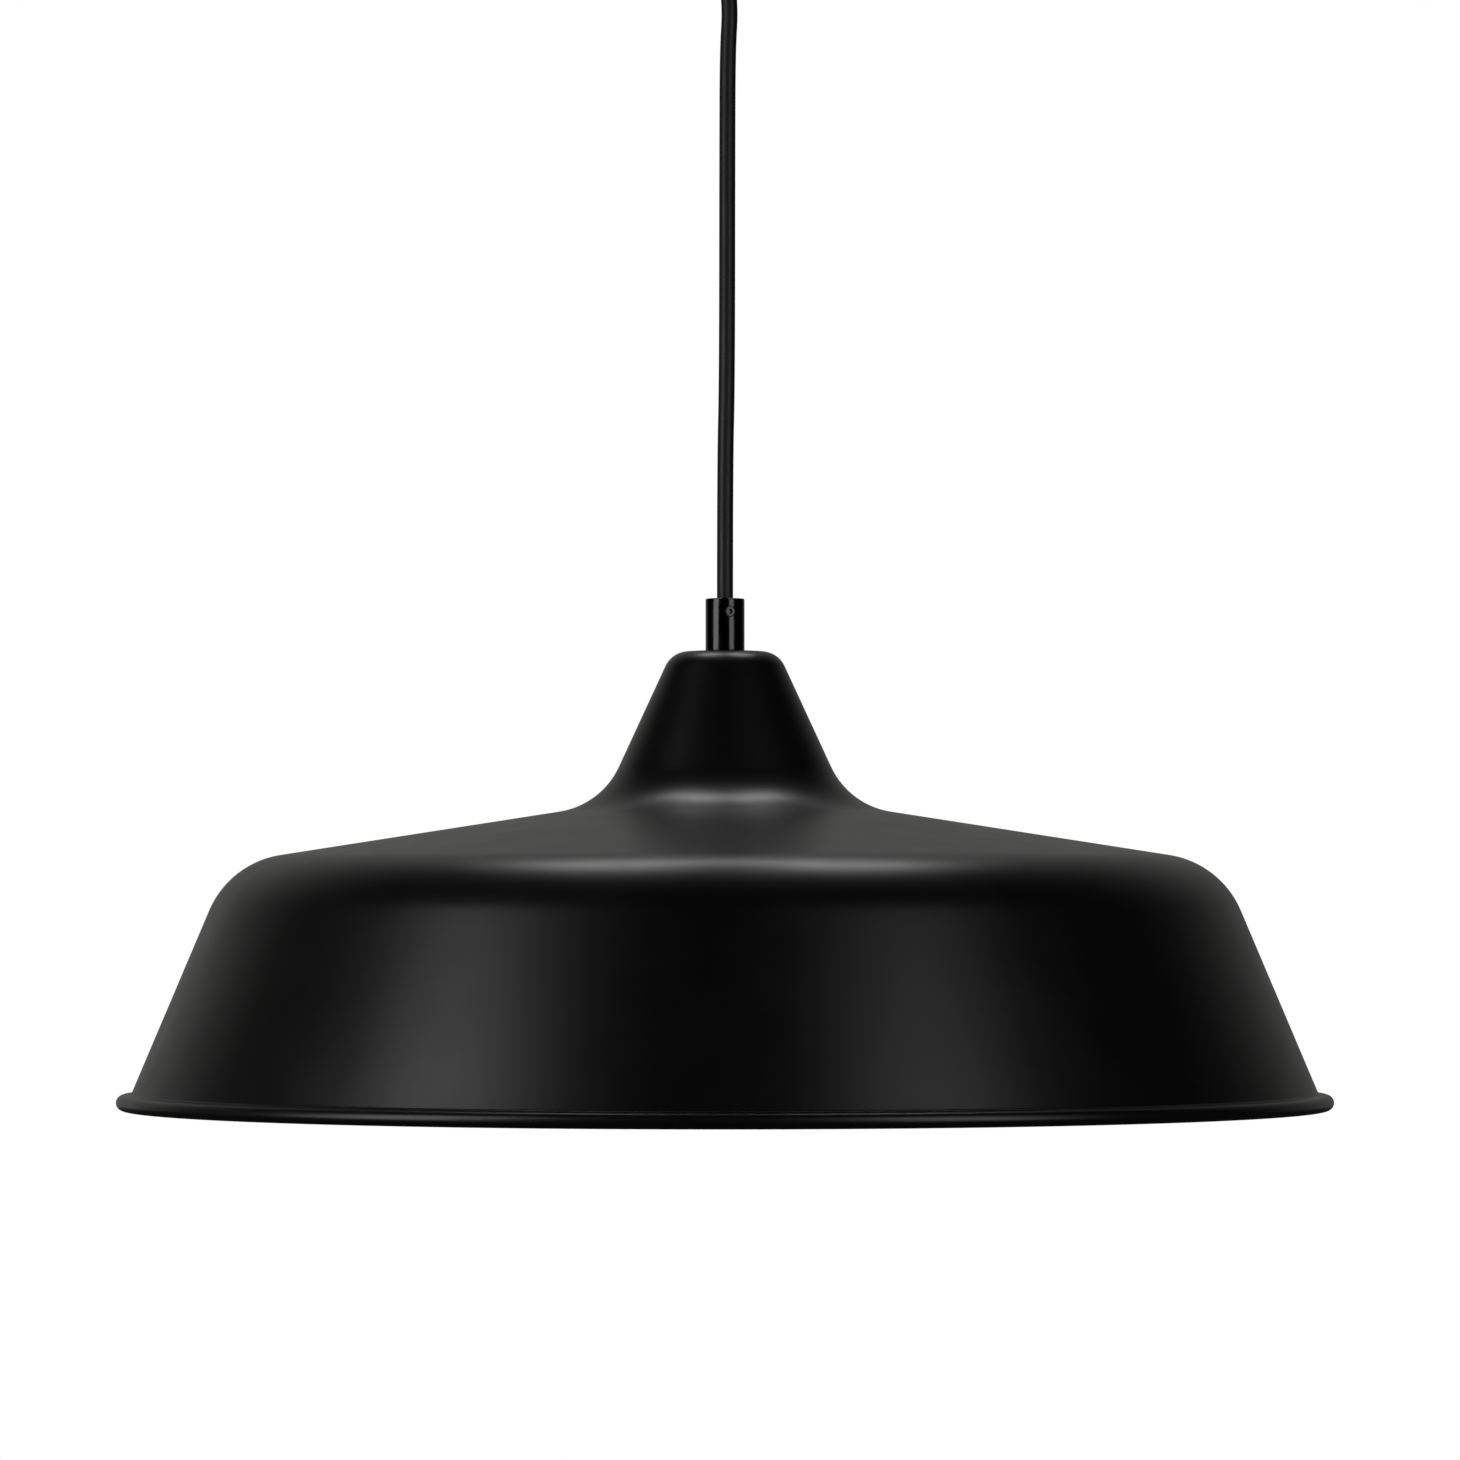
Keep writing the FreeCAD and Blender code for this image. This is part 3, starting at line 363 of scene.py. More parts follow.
def cord_jacket():
    material, tree, shader = node_material("cord_jacket", (0.007, 0.007, 0.007), 0.5)
    vary_roughness(tree, shader, noise(tree, 400.0, 4.0, (1, 1, 0.2)), 0.44, 0.56)
    add_bump(tree, shader, noise(tree, 2500.0, 3.0, (1, 1, 0.08)), 0.00002)
    return material


def metal(name, color, roughness, grain=900.0):
    material, tree, shader = node_material(name, color, roughness, 1.0)
    vary_roughness(tree, shader, noise(tree, grain, 4.0), roughness - 0.06, roughness + 0.08)
    add_bump(tree, shader, noise(tree, 3 * grain, 2.0), 0.000008)
    return material


def plastic(name, color, roughness, grain=1200.0, depth=0.00001, **sockets):
    material, tree, shader = node_material(name, color, roughness, **sockets)
    vary_roughness(tree, shader, noise(tree, grain / 8, 3.0), roughness - 0.04, roughness + 0.05)
    add_bump(tree, shader, noise(tree, grain, 3.0), depth)
    return material


SATIN_BLACK = satin_black()
WHITE_LACQUER = white_lacquer()
BLACK_NICKEL = black_nickel()
CORD_JACKET = cord_jacket()
ZINC = metal("zinc_plate", (0.52, 0.53, 0.54), 0.34)
BRASS = metal("turned_brass", (0.70, 0.49, 0.20), 0.28)
BASE_METAL = metal("base_nickel", (0.66, 0.65, 0.61), 0.24)
WIRE_BROWN = plastic("wire_brown", (0.11, 0.035, 0.012), 0.35)
WIRE_BLUE = plastic("wire_blue", (0.012, 0.07, 0.38), 0.35)
PHENOLIC = plastic("phenolic_black", (0.012, 0.012, 0.012), 0.38, 1600.0, 0.00002)
BLOCK = plastic("block_plastic", (0.72, 0.71, 0.66), 0.48)
OPAL = plastic("opal_globe", (0.86, 0.86, 0.84), 0.4, 600.0, 0.000006, Subsurface_Weight=0.25,
               Subsurface_Scale=0.01, Subsurface_Radius=(1.0, 1.0, 1.0))
HOUSING = plastic("bulb_housing", (0.80, 0.80, 0.78), 0.3)
BASE_GLASS = plastic("base_glass", (0.008, 0.008, 0.01), 0.12)
BOARD_WHITE = plastic("board_mask", (0.75, 0.75, 0.74), 0.42)
BOARD_GREEN = plastic("board_laminate", (0.02, 0.12, 0.045), 0.45)


def wire_green_yellow():
    """Earth insulation: green with two yellow stripes along the wire."""
    material, tree, shader = node_material("wire_green_yellow", (0.02, 0.22, 0.03), 0.35)
    texture = tree.nodes.new("ShaderNodeTexWave")
    texture.inputs["Scale"].default_value = 260.0
    texture.bands_direction = "Y"
    tree.links.new(coordinates(tree, (1, 1, 1)), texture.inputs["Vector"])
    stripe = map_range(tree, texture.outputs["Fac"], 0.45, 0.55)
    color_between(tree, shader, stripe, (0.02, 0.22, 0.03), (0.75, 0.62, 0.03))
    return material


WIRE_EARTH = wire_green_yellow()


# ---------------------------------------------------------------- cord

CUT_EDGE = 0.3                # the rounding of the jacket's cut end
CORD_TUCK = 2.3               # how deep in the lamp's grip the free cord meets the fixed end

# The same route as the CAD cord's: sideways offset and distance below the canopy grip's end.
# The first point is at the centre of the swing, inside the flexing stretch.
CORD_ROUTE = [(0.0, 3.2), (0.0, 6.4), (2.0, 19.0), (1.0, 36.0), (0.85, 70.0), (0.75, 160.0), (0.0, 190.0),
              (0.0, 242.0)]


def make_cord():
    curve = bpy.data.curves.new("cord_line", "CURVE")
    curve.dimensions = "3D"
    spline = curve.splines.new("NURBS")
    spline.points.add(len(CORD_ROUTE) - 1)
    for point, (x, below) in zip(spline.points, CORD_ROUTE):
        point.co = (x * MM, 0, CANOPY_GRIP_END - below * MM, 1)
    spline.order_u = 3
    spline.use_endpoint_u = True
    spline.resolution_u = 24
    curve.bevel_depth = CORD_RADIUS * MM
    curve.bevel_resolution = 12
    curve.use_fill_caps = True
    curve.materials.append(CORD_JACKET)
    cord = bpy.data.objects.new("cord_line", curve)
    bpy.context.scene.collection.objects.link(cord)
    put(cord, "cord_run", "cord")
    return cord


def cord_piece(name, path, level, body, node):
    """A turned stretch of cord from a path of millimetre points."""
    piece = lathe(name, path, CORD_JACKET, 96, closed=False, level=level)
    put(piece, body, node)
    return piece


def make_cord_ends():
    """The rounded elbow where the cord bends, and its fixed ends in the canopy and in the lamp."""
    steps = 24
    bend = []
    for spot in range(steps + 1):
        angle = math.pi * spot / steps - math.pi / 2
        bend.append(Vector((max(0.0, CORD_RADIUS * math.cos(angle)), CORD_RADIUS * math.sin(angle))))
    top = (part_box("cord_canopy_end")[1].z - PIVOT) / MM
    low = (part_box("cord_lamp_end")[0].z - LAMP_GRIP_TOP) / MM
    upper = rounded([(0, 0), (CORD_RADIUS, 0), (CORD_RADIUS, top, CUT_EDGE), (0, top)], closed=False)
    lower = rounded([(0, low), (CORD_RADIUS, low, CUT_EDGE), (CORD_RADIUS, -CORD_TUCK), (0, -CORD_TUCK)],
                    closed=False)
    return [cord_piece("cord_elbow", bend, PIVOT, "cord_bend", "cord_flex"),
            cord_piece("cord_in_canopy", upper, PIVOT, "ceiling_fitting", "cord_canopy_end"),
            cord_piece("cord_in_lamp", lower, LAMP_GRIP_TOP, "lamp_head", "cord_lamp_end")]


CORD = make_cord()
CORD_ENDS = make_cord_ends()


# ---------------------------------------------------------------- shade

SHEET = 0.8
CAP_EDGE = (19.65, 0.0, 9.4)
WAIST = (46.0, -57.1, 29.4)
SHOULDER = (183.5, -78.6, 34.2)
WALL_END = (219.4, -163.8)
BEAD_CENTRE = (222.2, -166.9)
BEAD_RADIUS = 2.8
BEAD_CURL = 292               # degrees that the edge is rolled through


def offset_inward(outline, distance):
    """Each corner of an open outline moved in along the lines that meet there."""
    points = [Vector((corner[0], corner[1])) for corner in outline]
    moved_points = []
    for spot, point in enumerate(points):
        normals = []
        if spot > 0:
            along = (point - points[spot - 1]).normalized()
            normals.append(Vector((along.y, -along.x)))
        if spot < len(points) - 1:
            along = (points[spot + 1] - point).normalized()
            normals.append(Vector((along.y, -along.x)))
        inward = (normals[0] + normals[-1]) / (1 + normals[0].dot(normals[-1]))
        moved_points.append(point + inward * distance)
    return moved_points


def make_shade():
    outer = [(BORE, 0.0), CAP_EDGE, WAIST, SHOULDER, WALL_END]
    inner = offset_inward(outer, SHEET)
    bends = (0, CAP_EDGE[2] - SHEET, WAIST[2] + SHEET, SHOULDER[2] - SHEET)
    inside = [(point.x, point.y, bend) for point, bend in zip(inner[:-1], bends)]
    roll = []
    unroll = []
    steps = 44
    for spot in range(steps + 1):
        angle = math.radians(90 - BEAD_CURL * spot / steps)
        for radius, points in ((BEAD_RADIUS, roll), (BEAD_RADIUS - SHEET, unroll)):
            points.append(Vector((BEAD_CENTRE[0] + radius * math.cos(angle),
                                  BEAD_CENTRE[1] + radius * math.sin(angle))))
    outside_path = rounded([*outer[:-1], (*WALL_END, 0.9), tuple(roll[0])], closed=False, step=2.5)
    inner_end = (inner[-1].x, inner[-1].y - 0.1, 0.4)
    inside_path = rounded([tuple(unroll[0]), inner_end, *reversed(inside)], closed=False, step=2.5)
    path = outside_path[:-1] + roll + list(reversed(unroll)) + inside_path[1:]
    path = subdivided(path, 6.0)
    shade = lathe("shade_spinning", path, SATIN_BLACK, 288, level=SHADE_TOP, sharp=50)
    shade.data.materials.append(WHITE_LACQUER)
    paint_inside(shade)
    put(shade, "lamp_head", "shade")


def paint_inside(shade):
    """Faces that look in towards the bulb are white; the bead and the outside are black."""
    for polygon in shade.data.polygons:
        centre = polygon.center
        radius = math.hypot(centre.x, centre.y)
        depth = (SHADE_TOP - centre.z) / MM
        outward = (polygon.normal.x * centre.x + polygon.normal.y * centre.y) / max(radius, 1e-6)
        facing_in = outward < -0.2 or (polygon.normal.z < -0.5 and radius / MM > BORE + 0.1)
        if facing_in and radius / MM > BORE + 0.1 and depth < -WALL_END[1] + 0.4:
            polygon.material_index = 1


make_shade()


# ---------------------------------------------------------------- cord grips

def cylinder_cutter(radius, length, segments=48):
    path = rounded([(0, 0), (radius, 0), (radius, length), (0, length)], closed=False)
    return lathe("cutter", path, None, segments, closed=False)


def hexagon_cutter(radius, length):
    bm = bmesh.new()
    rings = []
    for height in (0, length):
        rings.append([bm.verts.new((radius * MM * math.cos(math.radians(60 * side)),
                                    radius * MM * math.sin(math.radians(60 * side)), height * MM))
                      for side in range(6)])
    bm.faces.new(list(reversed(rings[0])))
    bm.faces.new(rings[1])
    for side in range(6):
        after = (side + 1) % 6
        bm.faces.new((rings[0][side], rings[0][after], rings[1][after], rings[1][side]))
    return finish_mesh("cutter", bm)


GRIP_BORE = 3.35              # the cord's way through
SOCKET_DEPTH = 9.0            # of the M10 thread
GRUB_RADIUS = 2.0
GRUB_HEIGHT = 14.6            # above the grip's seat
GRUB_START = 3.4              # from the axis, clear of the cord
GRUB_LENGTH = GRIP_RADIUS - 0.35 - GRUB_START
GRUB_PITCH = 0.7
GRUB_TURN = math.radians(15)


def turned_grip(name):
    """A plated cylinder on its M10 socket, with the hole for its grub screw."""
    top = GRIP_HEIGHT
    outline = rounded([
        (GRIP_BORE, SOCKET_DEPTH), (GRIP_BORE, top - 0.9, 0.3), (4.1, top, 0.25), (GRIP_RADIUS, top, 0.55),
        (GRIP_RADIUS, 0.0, 0.3), (BORE, 0.0, 0.1), (BORE, SOCKET_DEPTH)], step=15)
    grip = lathe(name, subdivided(outline, 3.0), BLACK_NICKEL, 192)
    combine(grip, moved(cylinder_cutter(GRUB_RADIUS + 0.1, 12.0), shift(z=GRUB_HEIGHT) @ FRONT))
    return grip


def grub_screw(name):
    """A threaded slug with a hexagon socket."""
    def thread(radius, height, angle):
        on_flank = radius > GRUB_RADIUS - 0.1 and 0.5 < height < GRUB_LENGTH - 0.6
        return radius - (0.12 * ridge(height, angle, GRUB_PITCH) if on_flank else 0.0)

    path = rounded([
        (0, 0), (GRUB_RADIUS - 0.3, 0), (GRUB_RADIUS, 0.4, 0.1), (GRUB_RADIUS, GRUB_LENGTH, 0.25),
        (0, GRUB_LENGTH)], closed=False, step=20)
    screw = lathe(name, path, BLACK_NICKEL, 48, closed=False, wave=thread)
    combine(screw, moved(hexagon_cutter(1.15, 3.0), shift(z=GRUB_LENGTH - 1.6)))
    return moved(screw, shift(z=GRUB_HEIGHT) @ FRONT @ shift(z=GRUB_START))


def make_grip(name, node, level, upward, body):
    """A cord grip and its grub screw, standing on level or hanging from it."""
    turn = Matrix.Rotation(GRUB_TURN, 4, "Z")
    if not upward:
        turn = turn @ Matrix.Rotation(math.pi, 4, "Y")
    place = Matrix.Translation((0, 0, level)) @ turn
    put(moved(turned_grip(name), place), body, node)
    put(moved(grub_screw(name + "_screw"), place), body, node + "_screw")


make_grip("lamp_grip_turned", "lamp_grip", SHADE_TOP, True, "lamp_head")
make_grip("canopy_grip_turned", "canopy_grip", CANOPY_FLOOR, False, "ceiling_fitting")


# ---------------------------------------------------------------- turned and threaded pieces

TUBE_BORE = 3.6
TUBE_PITCH = 1.0
TUBE_FLANK = 4.5              # everything outside this radius is cut by the thread
NUT_ACROSS = 14.0
NUT_CHAMFER = 0.72            # how far down the corners are turned off
NUT_LEAD = 5.6                # the bore's mouth, opened for the tube
M4_SHANK = 2.0
M4_PITCH = 0.7


def turned_size(node):
    """The bottom, height and radius of an upright turned piece, from its CAD box."""
    low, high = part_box(node)
    return low.z, (high.z - low.z) / MM, high.x / MM


def make_threaded_tube(name, node, body):
    """M10 x 1 all-thread with a hollow for the cord."""
    base, length, outer = turned_size(node)

    def thread(radius, height, angle):
        if radius <= TUBE_FLANK:
            return radius
        return radius - 0.5 * (1 - ridge(height, angle, TUBE_PITCH)) * fade(height, 0.2, length - 0.2, 0.6)

    path = rounded([(TUBE_BORE, 0, 0.2), (outer, 0, 0.3), (outer, length, 0.3), (TUBE_BORE, length, 0.2)],
                   step=30)
    tube = lathe(name, subdivided(path, 0.125), ZINC, 64, level=base, sharp=60, wave=thread)
    put(tube, body, node)


def make_nut(name, node, body):
    """A hexagon locknut with both its faces chamfered."""
    base, thick, _ = turned_size(node)
    flat = NUT_ACROSS / 2 - 0.2
    corner = NUT_ACROSS / math.sqrt(3)
    nut = hexagon_cutter(corner, thick)
    nut.data.materials.append(ZINC)
    cone = lathe("chamfer", rounded([
        (0, -0.4), (flat, -0.4), (flat, 0), (corner + 0.1, NUT_CHAMFER),
        (corner + 0.1, thick - NUT_CHAMFER), (flat, thick), (flat, thick + 0.4),
        (0, thick + 0.4)], closed=False), ZINC, 96, closed=False)
    combine(nut, cone, "INTERSECT")
    bore = lathe("bore", rounded([
        (0, -1), (NUT_LEAD, -1), (NUT_LEAD, -0.01), (BORE, 0.5), (BORE, thick - 0.5),
        (NUT_LEAD, thick + 0.01), (NUT_LEAD, thick + 1), (0, thick + 1)], closed=False),
        ZINC, 96, closed=False)
    combine(nut, bore)
    nut.name = name
    moved(nut, Matrix.Translation((0, 0, base)))
    put(nut, body, node)


def make_washer(name, node, body):
    """A flat washer, with the soft top edge that punching leaves."""
    base, thick, outer = turned_size(node)
    path = rounded([(BORE, 0, 0.1), (outer, 0, 0.15), (outer, thick, 0.35), (BORE, thick, 0.25)], step=15)
    put(lathe(name, subdivided(path, 1.0), ZINC, 128, level=base), body, node)


def machine_screw(length, head, head_height):
    """A cross-recessed pan-head M4 screw along +Z: its head stands below 0 and its shank above."""
    def thread(radius, height, angle):
        if radius <= M4_SHANK - 0.15 or height <= 0.3:
            return radius
        return radius - 0.3 * (1 - ridge(height, angle, M4_PITCH)) * fade(height, 0.3, length, 0.5)

    path = rounded([
        (0, length), (M4_SHANK - 0.35, length, 0.1), (M4_SHANK, length - 0.5, 0.1), (M4_SHANK, 0),
        (head, 0, 0.25), (head, -head_height, 0.55 * head_height), (0, -head_height)],
        closed=False, step=10)
    path = subdivided(path, 0.1, closed=False)
    screw = lathe("screw", path, ZINC, 40, closed=False, sharp=50, wave=thread)
    for turn in (0, 90):
        combine(screw, moved(recess_blade(head, head_height), Matrix.Rotation(math.radians(turn), 4, "Z")))
    return screw


def recess_blade(head, head_height):
    """One of the two tapered bars that cut the cross recess."""
    bm = bmesh.new()
    bmesh.ops.create_cube(bm, size=1)
    for vertex in bm.verts:
        deep = vertex.co.z > 0
        vertex.co.x *= (0.5 if deep else 1.15) * head * MM
        vertex.co.y *= (0.1 if deep else 0.22) * head * MM
        vertex.co.z = (-0.35 * head_height if deep else -1.4 * head_height) * MM
    return finish_mesh("blade", bm)


SIDE_SCREW_SEAT = 50.05       # under its head, from the axis
SIDE_SCREW_DEPTH = 9.0        # below the ceiling
CANOPY_RADIUS = 50
CANOPY_DEPTH = 28
CANOPY_SHEET = 1
EARTH_HEAD_HEIGHT = 2.2


def make_side_screws():
    """The two screws that hold the canopy to the bracket's ears."""
    screws = []
    for side in (-1, 1):
        inwards = Matrix.Rotation(math.radians(-90 * side), 4, "Y")
        driven = Matrix.Rotation(0.3 + side, 4, "Z")
        screw = moved(machine_screw(8.0, 4.0, 2.4), inwards @ driven)
        screws.append(moved(screw, shift(x=side * SIDE_SCREW_SEAT, z=-SIDE_SCREW_DEPTH)))
    put(join("canopy_screws", screws), "ceiling_fitting", "canopy_side_screws")


def make_earth_screw():
    """The screw that holds the earth wire's ring to the bracket."""
    low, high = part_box("earth_screw")
    screw = machine_screw((high.z - low.z) / MM - EARTH_HEAD_HEIGHT, 3.5, EARTH_HEAD_HEIGHT)
    moved(screw, Matrix.Translation(((low.x + high.x) / 2, 0, low.z + EARTH_HEAD_HEIGHT * MM)))
    put(screw, "ceiling_fitting", "earth_screw")


def make_canopy():
    """The spun cup against the ceiling, its rim turned smooth."""
    inner = CANOPY_RADIUS - CANOPY_SHEET
    floor = CANOPY_SHEET - CANOPY_DEPTH
    path = rounded([
        (BORE, -CANOPY_DEPTH, 0.15), (CANOPY_RADIUS, -CANOPY_DEPTH, 6), (CANOPY_RADIUS, 0, 0.35),
        (inner, 0, 0.35), (inner, floor, 5), (BORE, floor, 0.15)], step=5)
    canopy = lathe("canopy_spinning", subdivided(path, 4.0), SATIN_BLACK, 192)
    hole = moved(cylinder_cutter(M4_SHANK + 0.2, 120), shift(z=-60))
    moved(hole, shift(z=-SIDE_SCREW_DEPTH) @ Matrix.Rotation(math.radians(90), 4, "Y"))
    combine(canopy, hole)
    put(canopy, "ceiling_fitting", "canopy_cup")


# ---------------------------------------------------------------- holder and bulb

# Radii and heights in millimetres, the heights from the shade's top.
HOLDER_RADIUS = 20.6
HOLDER_PARTING = -30.0        # where the cap meets the sleeve
HOLDER_END = -62.0
RIB_COUNT = 48
CAP_PIN = (1.32, 13.0, -14.0)       # the earth screw's hole through the cap: radius, reach and height
E27_PITCH = 3.63
SHELL_WALL = (13.35, 13.75)
SHELL_LENGTH = 23.7
BASE_WALL = (12.8, 13.2)
BASE_END = -62.6
GLOBE_CENTRE = -112.3
GLOBE_RADIUS = 30.0
GLOBE_SKIN = 1.4
GLOBE_SEAT = -98.4            # where the globe sits on the housing
GLOBE_STEPS = 90


def grip_ribs(radius, height, angle, low, high, outer):
    """Fine finger ribs moulded into a plastic skirt, cut inwards from the outside."""
    if radius < outer - 1.3:
        return radius
    groove = (0.5 - 0.5 * math.cos(RIB_COUNT * angle)) ** 3
    return radius - 0.35 * groove * fade(height, low, high, 0.8)


def make_holder():
    """The holder's cap and sleeve, both ribbed for the fingers."""
    cap = rounded([
        (8.6, -5.3), (10.5, -5.3, 0.4), (20, -12, 7), (HOLDER_RADIUS, HOLDER_PARTING, 0.3),
        (18.2, HOLDER_PARTING, 0.2), (17.6, -14.4, 4.6), (11.9, -10.1), (11.9, -16.5, 0.2),
        (8.6, -16.5, 0.2)], step=8)
    cap = lathe("holder_cap_moulding", subdivided(cap, 0.7), PHENOLIC, 384, level=SHADE_TOP,
                wave=lambda r, h, a: grip_ribs(r, h, a, -28.6, -17.5, 20.3))
    pin_radius, pin_reach, pin_height = CAP_PIN
    pin = moved(cylinder_cutter(pin_radius, pin_reach), FRONT)
    moved(pin, Matrix.Translation((0, 0, SHADE_TOP + pin_height * MM)))
    combine(cap, pin)
    put(cap, "lamp_head", "holder_cap")
    sleeve = rounded([
        (16.5, -22.8), (17.6, -22.8, 0.2), (17.6, HOLDER_PARTING - 0.1),
        (HOLDER_RADIUS, HOLDER_PARTING - 0.1, 0.3), (19.6, HOLDER_END, 1.2), (14.5, HOLDER_END, 1.0),
        (14.5, -35), (16.5, -35)], step=8)
    sleeve = lathe("holder_sleeve_moulding", subdivided(sleeve, 0.7), PHENOLIC, 384, level=SHADE_TOP,
                   wave=lambda r, h, a: grip_ribs(r, h, a, -56.0, -31.5, 20.2 + 0.03 * (h + 30)))
    put(sleeve, "lamp_head", "holder_sleeve")


def make_thread_shells():
    """The rolled threads of the bulb's base and of the holder's shell, in step with each other."""
    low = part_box("holder_screw_shell")[0].z
    within, without = SHELL_WALL
    path = rounded([(within, 0, 0.1), (without, 0, 0.1), (without, SHELL_LENGTH, 0.1),
                    (within, SHELL_LENGTH, 0.1)], step=30)

    def shell_wave(radius, height, angle):
        raised = ridge(height + low / MM, angle, E27_PITCH)
        return radius + 0.5 * raised * fade(height, 0, SHELL_LENGTH, 2.5)

    shell = lathe("holder_thread_shell", subdivided(path, 0.35), BRASS, 96, level=low, sharp=60,
                  wave=shell_wave)
    put(shell, "lamp_head", "holder_screw_shell")
    within, without = BASE_WALL
    path = rounded([
        (9.4, -41.7), (10.8, -41.7, 0.3), (without, -44.5, 1.2), (without, BASE_END, 0.15),
        (within, BASE_END, 0.15), (within, -44.9, 0.8), (9.4, -42.1)], step=12)

    def base_wave(radius, height, angle):
        sunk = 1 - ridge(height + SHADE_TOP / MM, angle, E27_PITCH)
        return radius - 0.85 * sunk * fade(height, -61.4, -44.6, 1.6)

    base = lathe("bulb_thread_shell", subdivided(path, 0.35), BASE_METAL, 96, level=SHADE_TOP, sharp=60,
                 wave=base_wave)
    put(base, "bulb", "bulb_screw_shell")


def globe_arc(radius):
    """A globe's outline from its lowest point up to the level where it sits on the housing."""
    arc = [Vector((0.0, GLOBE_CENTRE - radius))]
    top = math.acos((GLOBE_CENTRE - GLOBE_SEAT) / radius)
    for spot in range(1, GLOBE_STEPS):
        angle = math.pi * spot / GLOBE_STEPS
        if angle < top:
            arc.append(Vector((radius * math.sin(angle), GLOBE_CENTRE - radius * math.cos(angle))))
    arc.append(Vector((math.sqrt(radius ** 2 - (GLOBE_CENTRE - GLOBE_SEAT) ** 2), GLOBE_SEAT)))
    return arc


def make_bulb():
    """The bulb's tip, glass, housing and opal globe."""
    tip = rounded([(0, -36.35), (4.8, -36.35, 1.5), (4.8, -38.1), (0, -38.1)], closed=False, step=6)
    put(lathe("bulb_tip_solder", subdivided(tip, 0.8, closed=False), BASE_METAL, 64, closed=False,
              level=SHADE_TOP), "bulb_tip", "bulb_contact")
    glass = rounded([(0, -38.2), (5.4, -38.2, 0.6), (10.4, -41.6, 0.1), (0, -41.6)], closed=False, step=8)
    put(lathe("bulb_base_glass", subdivided(glass, 0.8, closed=False), BASE_GLASS, 96, closed=False,
              level=SHADE_TOP), "bulb", "bulb_insulator")
    neck = rounded([
        (12.0, -62.7), (13.6, -62.7, 0.3), (16.5, -72, 30), (26.4, -98.3, 0.2), (24.8, -98.3, 0.2),
        (14.9, -72, 30)], step=3)
    put(lathe("bulb_housing_shell", subdivided(neck, 1.5), HOUSING, 192, level=SHADE_TOP),
        "bulb", "bulb_neck")
    globe = globe_arc(GLOBE_RADIUS) + list(reversed(globe_arc(GLOBE_RADIUS - GLOBE_SKIN)))
    put(lathe("bulb_opal_globe", globe, OPAL, 192, closed=False, level=SHADE_TOP, sharp=50),
        "bulb", "bulb_diffuser")


for make, name, nodes in (
        (make_threaded_tube, "all_thread", ("canopy_tube", "lamp_tube")),
        (make_nut, "locknut", ("canopy_nut", "shade_nut")),
        (make_washer, "flat_washer", ("canopy_washer", "shade_washer"))):
    make(name + "_1", nodes[0], "ceiling_fitting")
    make(name + "_2", nodes[1], "lamp_head")
make_side_screws()
make_earth_screw()
make_canopy()
make_holder()
make_thread_shells()
make_bulb()


# ---------------------------------------------------------------- stage, lights and background

FLOOR_LEVEL = SHADE_LOW - 5.0
FLOOR_RADIUS = 40.0
FLOOR_GLOW = 0.86
BACKGROUND = 1.0
BEHIND = 0.26                 # how bright the low band behind the light is in reflections
BEHIND_LEFT = 1.3             # and how much that changes from left to right
BEHIND_RIGHT = 0.7


def make_floor():
    """White paper far below, bright to the camera and dark in the shade's reflections."""
    bm = bmesh.new()
    bmesh.ops.create_circle(bm, cap_ends=True, segments=96, radius=FLOOR_RADIUS)
    material, tree, shader = node_material("floor_paper", (0.5, 0.5, 0.5), 0.9)
    shader.inputs["Emission Color"].default_value = (1, 1, 1, 1)
    add_bump(tree, shader, noise(tree, 300.0, 3.0), 0.0001)
    glow = multiply(tree, tree.nodes.new("ShaderNodeLightPath").outputs["Is Camera Ray"])
    glow.inputs[1].default_value = FLOOR_GLOW
    tree.links.new(glow.outputs["Value"], shader.inputs["Emission Strength"])
    floor = finish_mesh("floor", bm, material)
    floor.location.z = FLOOR_LEVEL


def make_world():
    """White behind the camera's view; for reflections, bright low down behind and dark in front."""
    world = bpy.data.worlds.new("studio")
    bpy.context.scene.world = world
    world.use_nodes = True
    tree = world.node_tree
    tree.nodes.clear()
    output = tree.nodes.new("ShaderNodeOutputWorld")
    seen = tree.nodes.new("ShaderNodeBackground")
    seen.inputs["Color"].default_value = (1, 1, 1, 1)
    seen.inputs["Strength"].default_value = BACKGROUND
    light = tree.nodes.new("ShaderNodeBackground")
    light.inputs["Color"].default_value = (1, 1, 0.98, 1)
    place = tree.nodes.new("ShaderNodeTexCoord")
    split = tree.nodes.new("ShaderNodeSeparateXYZ")
    tree.links.new(place.outputs["Generated"], split.inputs["Vector"])
    strength = multiply(tree, map_range(tree, split.outputs["Y"], 0.35, 0.97, high=BEHIND, smooth=True))
    sideways = map_range(tree, split.outputs["X"], -0.6, 0.6, BEHIND_LEFT, BEHIND_RIGHT)
    tree.links.new(sideways, strength.inputs[1])
    tree.links.new(strength.outputs["Value"], light.inputs["Strength"])
    path = tree.nodes.new("ShaderNodeLightPath")
    mix = tree.nodes.new("ShaderNodeMixShader")
    tree.links.new(path.outputs["Is Camera Ray"], mix.inputs["Fac"])
    tree.links.new(light.outputs["Background"], mix.inputs[1])
    tree.links.new(seen.outputs["Background"], mix.inputs[2])
    tree.links.new(mix.outputs["Shader"], output.inputs["Surface"])


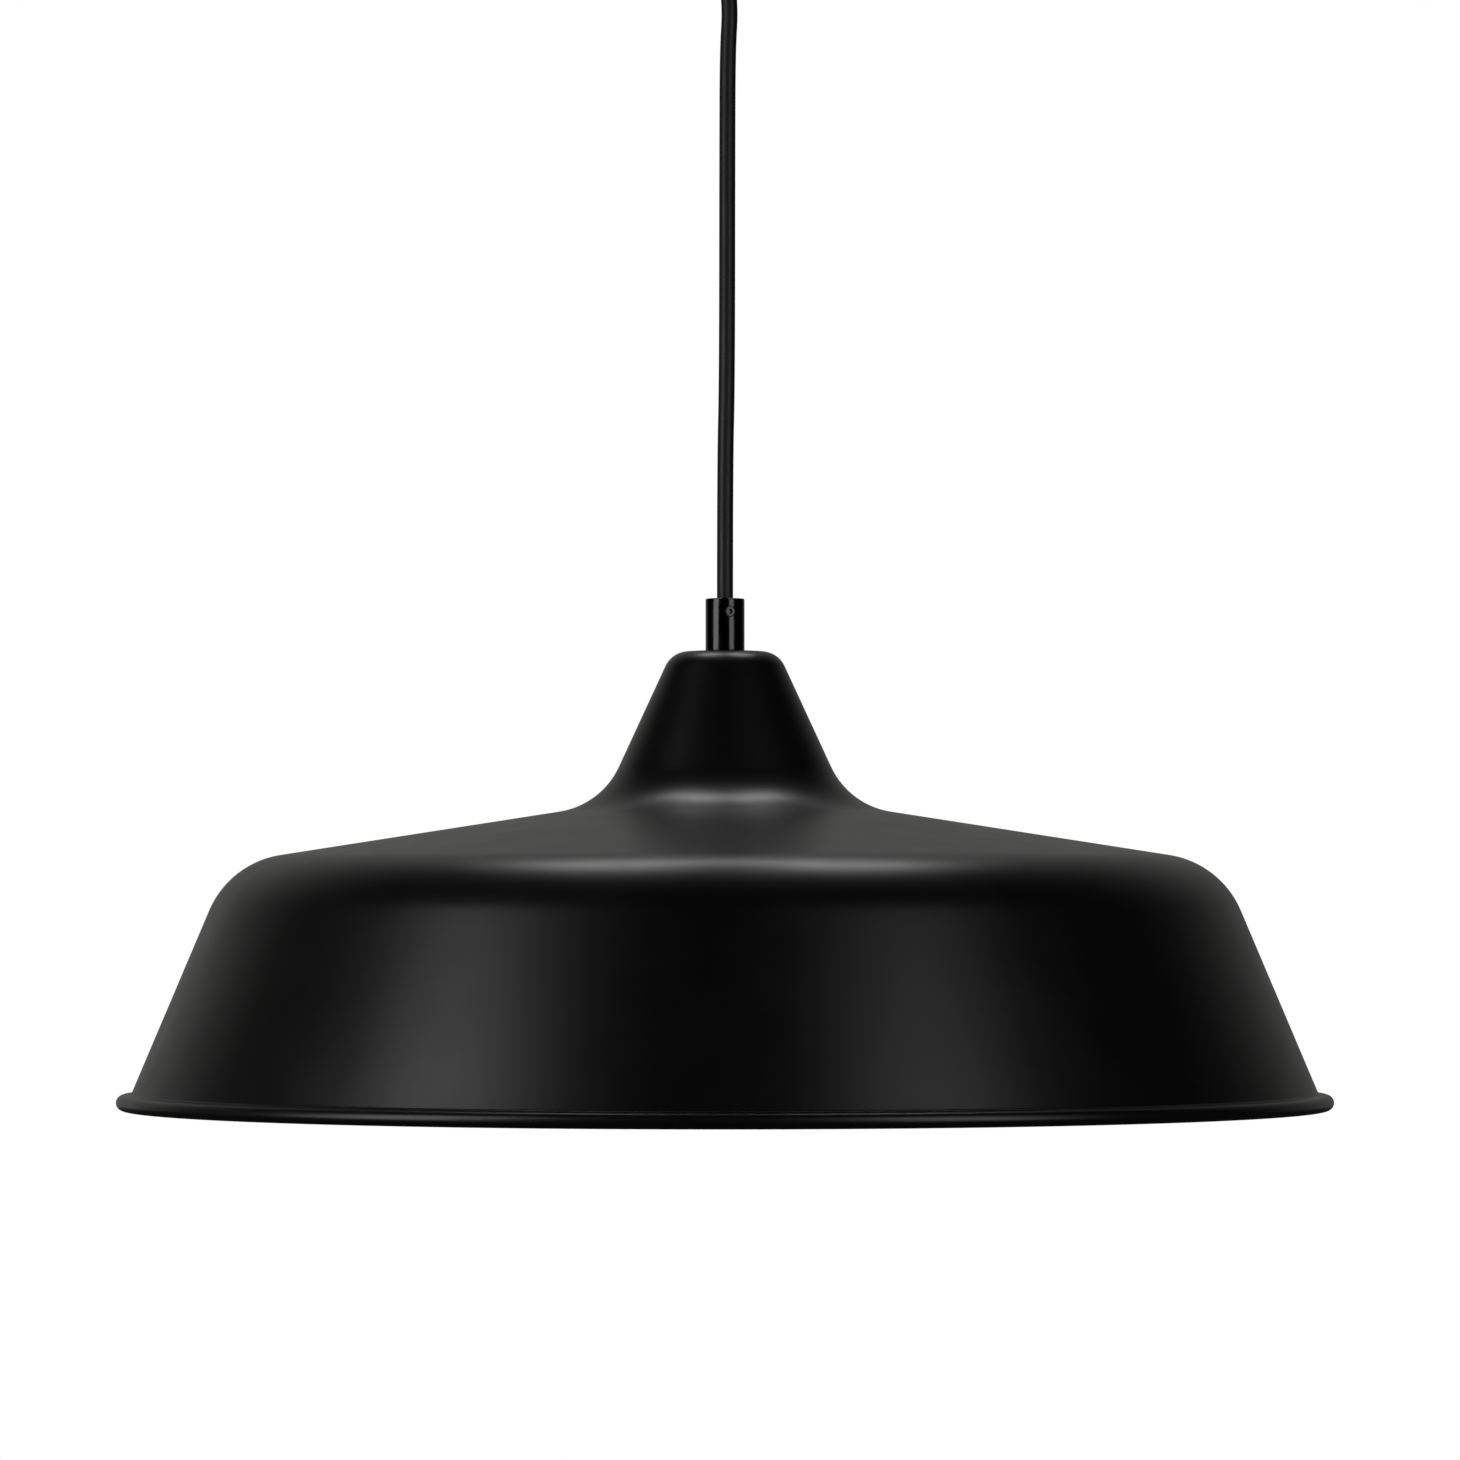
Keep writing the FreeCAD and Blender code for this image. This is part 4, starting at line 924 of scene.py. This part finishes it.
def softbox(name, azimuth, away, middle, width, height, radiance, lean=0.0, pitch=0.0, mirrored=True):
    """A soft box facing the light's axis: azimuth 0 is the camera's side and turns to the right.

    away is its distance from the axis, middle its height and pitch its elevation above the target.
    A box that isn't mirrored lights the matt surfaces and doesn't show in the shiny ones.
    """
    data = bpy.data.lights.new(name, "AREA")
    data.shape = "RECTANGLE"
    data.size = width
    data.size_y = height
    data.energy = radiance * math.pi * width * height
    lamp = bpy.data.objects.new(name, data)
    bpy.context.scene.collection.objects.link(lamp)
    turn = math.radians(azimuth)
    lamp.location = (away * math.sin(turn), -away * math.cos(turn), middle)
    back = Vector((math.sin(turn) * math.cos(pitch), -math.cos(turn) * math.cos(pitch), math.sin(pitch)))
    lamp.rotation_mode = "QUATERNION"
    lamp.rotation_quaternion = (back.to_track_quat("Z", "Y")
                                @ Matrix.Rotation(math.radians(lean), 3, "Z").to_quaternion())
    lamp.visible_camera = False
    lamp.visible_glossy = mirrored


def make_lights():
    softbox("left_box", -55, 0.95, -0.21, 0.5, 0.8, 2.6, lean=-15)
    softbox("right_box", 39, 0.95, -0.21, 0.42, 0.8, 1.8, lean=8)
    softbox("top_box", 180, 0.33, 0.52, 0.62, 0.3, 5.0, pitch=math.radians(66))
    softbox("under_box", 0, 0.0, SHADE_LOW - 1.2, 1.0, 1.0, 3.0, pitch=math.radians(-90), mirrored=False)


make_floor()
make_world()
make_lights()
bpy.context.scene.view_settings.view_transform = "Standard"


# ---------------------------------------------------------------- finishes of the CAD pieces that stay

FINISHES = {
    "black_lacquer": SATIN_BLACK, "black_nickel": BLACK_NICKEL, "zinc_steel": ZINC, "brass": BRASS,
    "cord_jacket": CORD_JACKET, "wire_brown": WIRE_BROWN, "wire_blue": WIRE_BLUE, "wire_earth": WIRE_EARTH,
    "holder_plastic": PHENOLIC, "block_plastic": BLOCK, "base_metal": BASE_METAL, "base_glass": BASE_GLASS,
    "bulb_housing": HOUSING, "bulb_opal": OPAL, "board_metal": BOARD_WHITE, "board_green": BOARD_GREEN,
}


def finish_cad_pieces():
    for row in frame["record"]["subparts"]:
        item = frame["nodes"][row["node"]]
        if item.hide_render:
            continue
        item.data.materials.clear()
        item.data.materials.append(FINISHES[row["material_slot"]])


finish_cad_pieces()
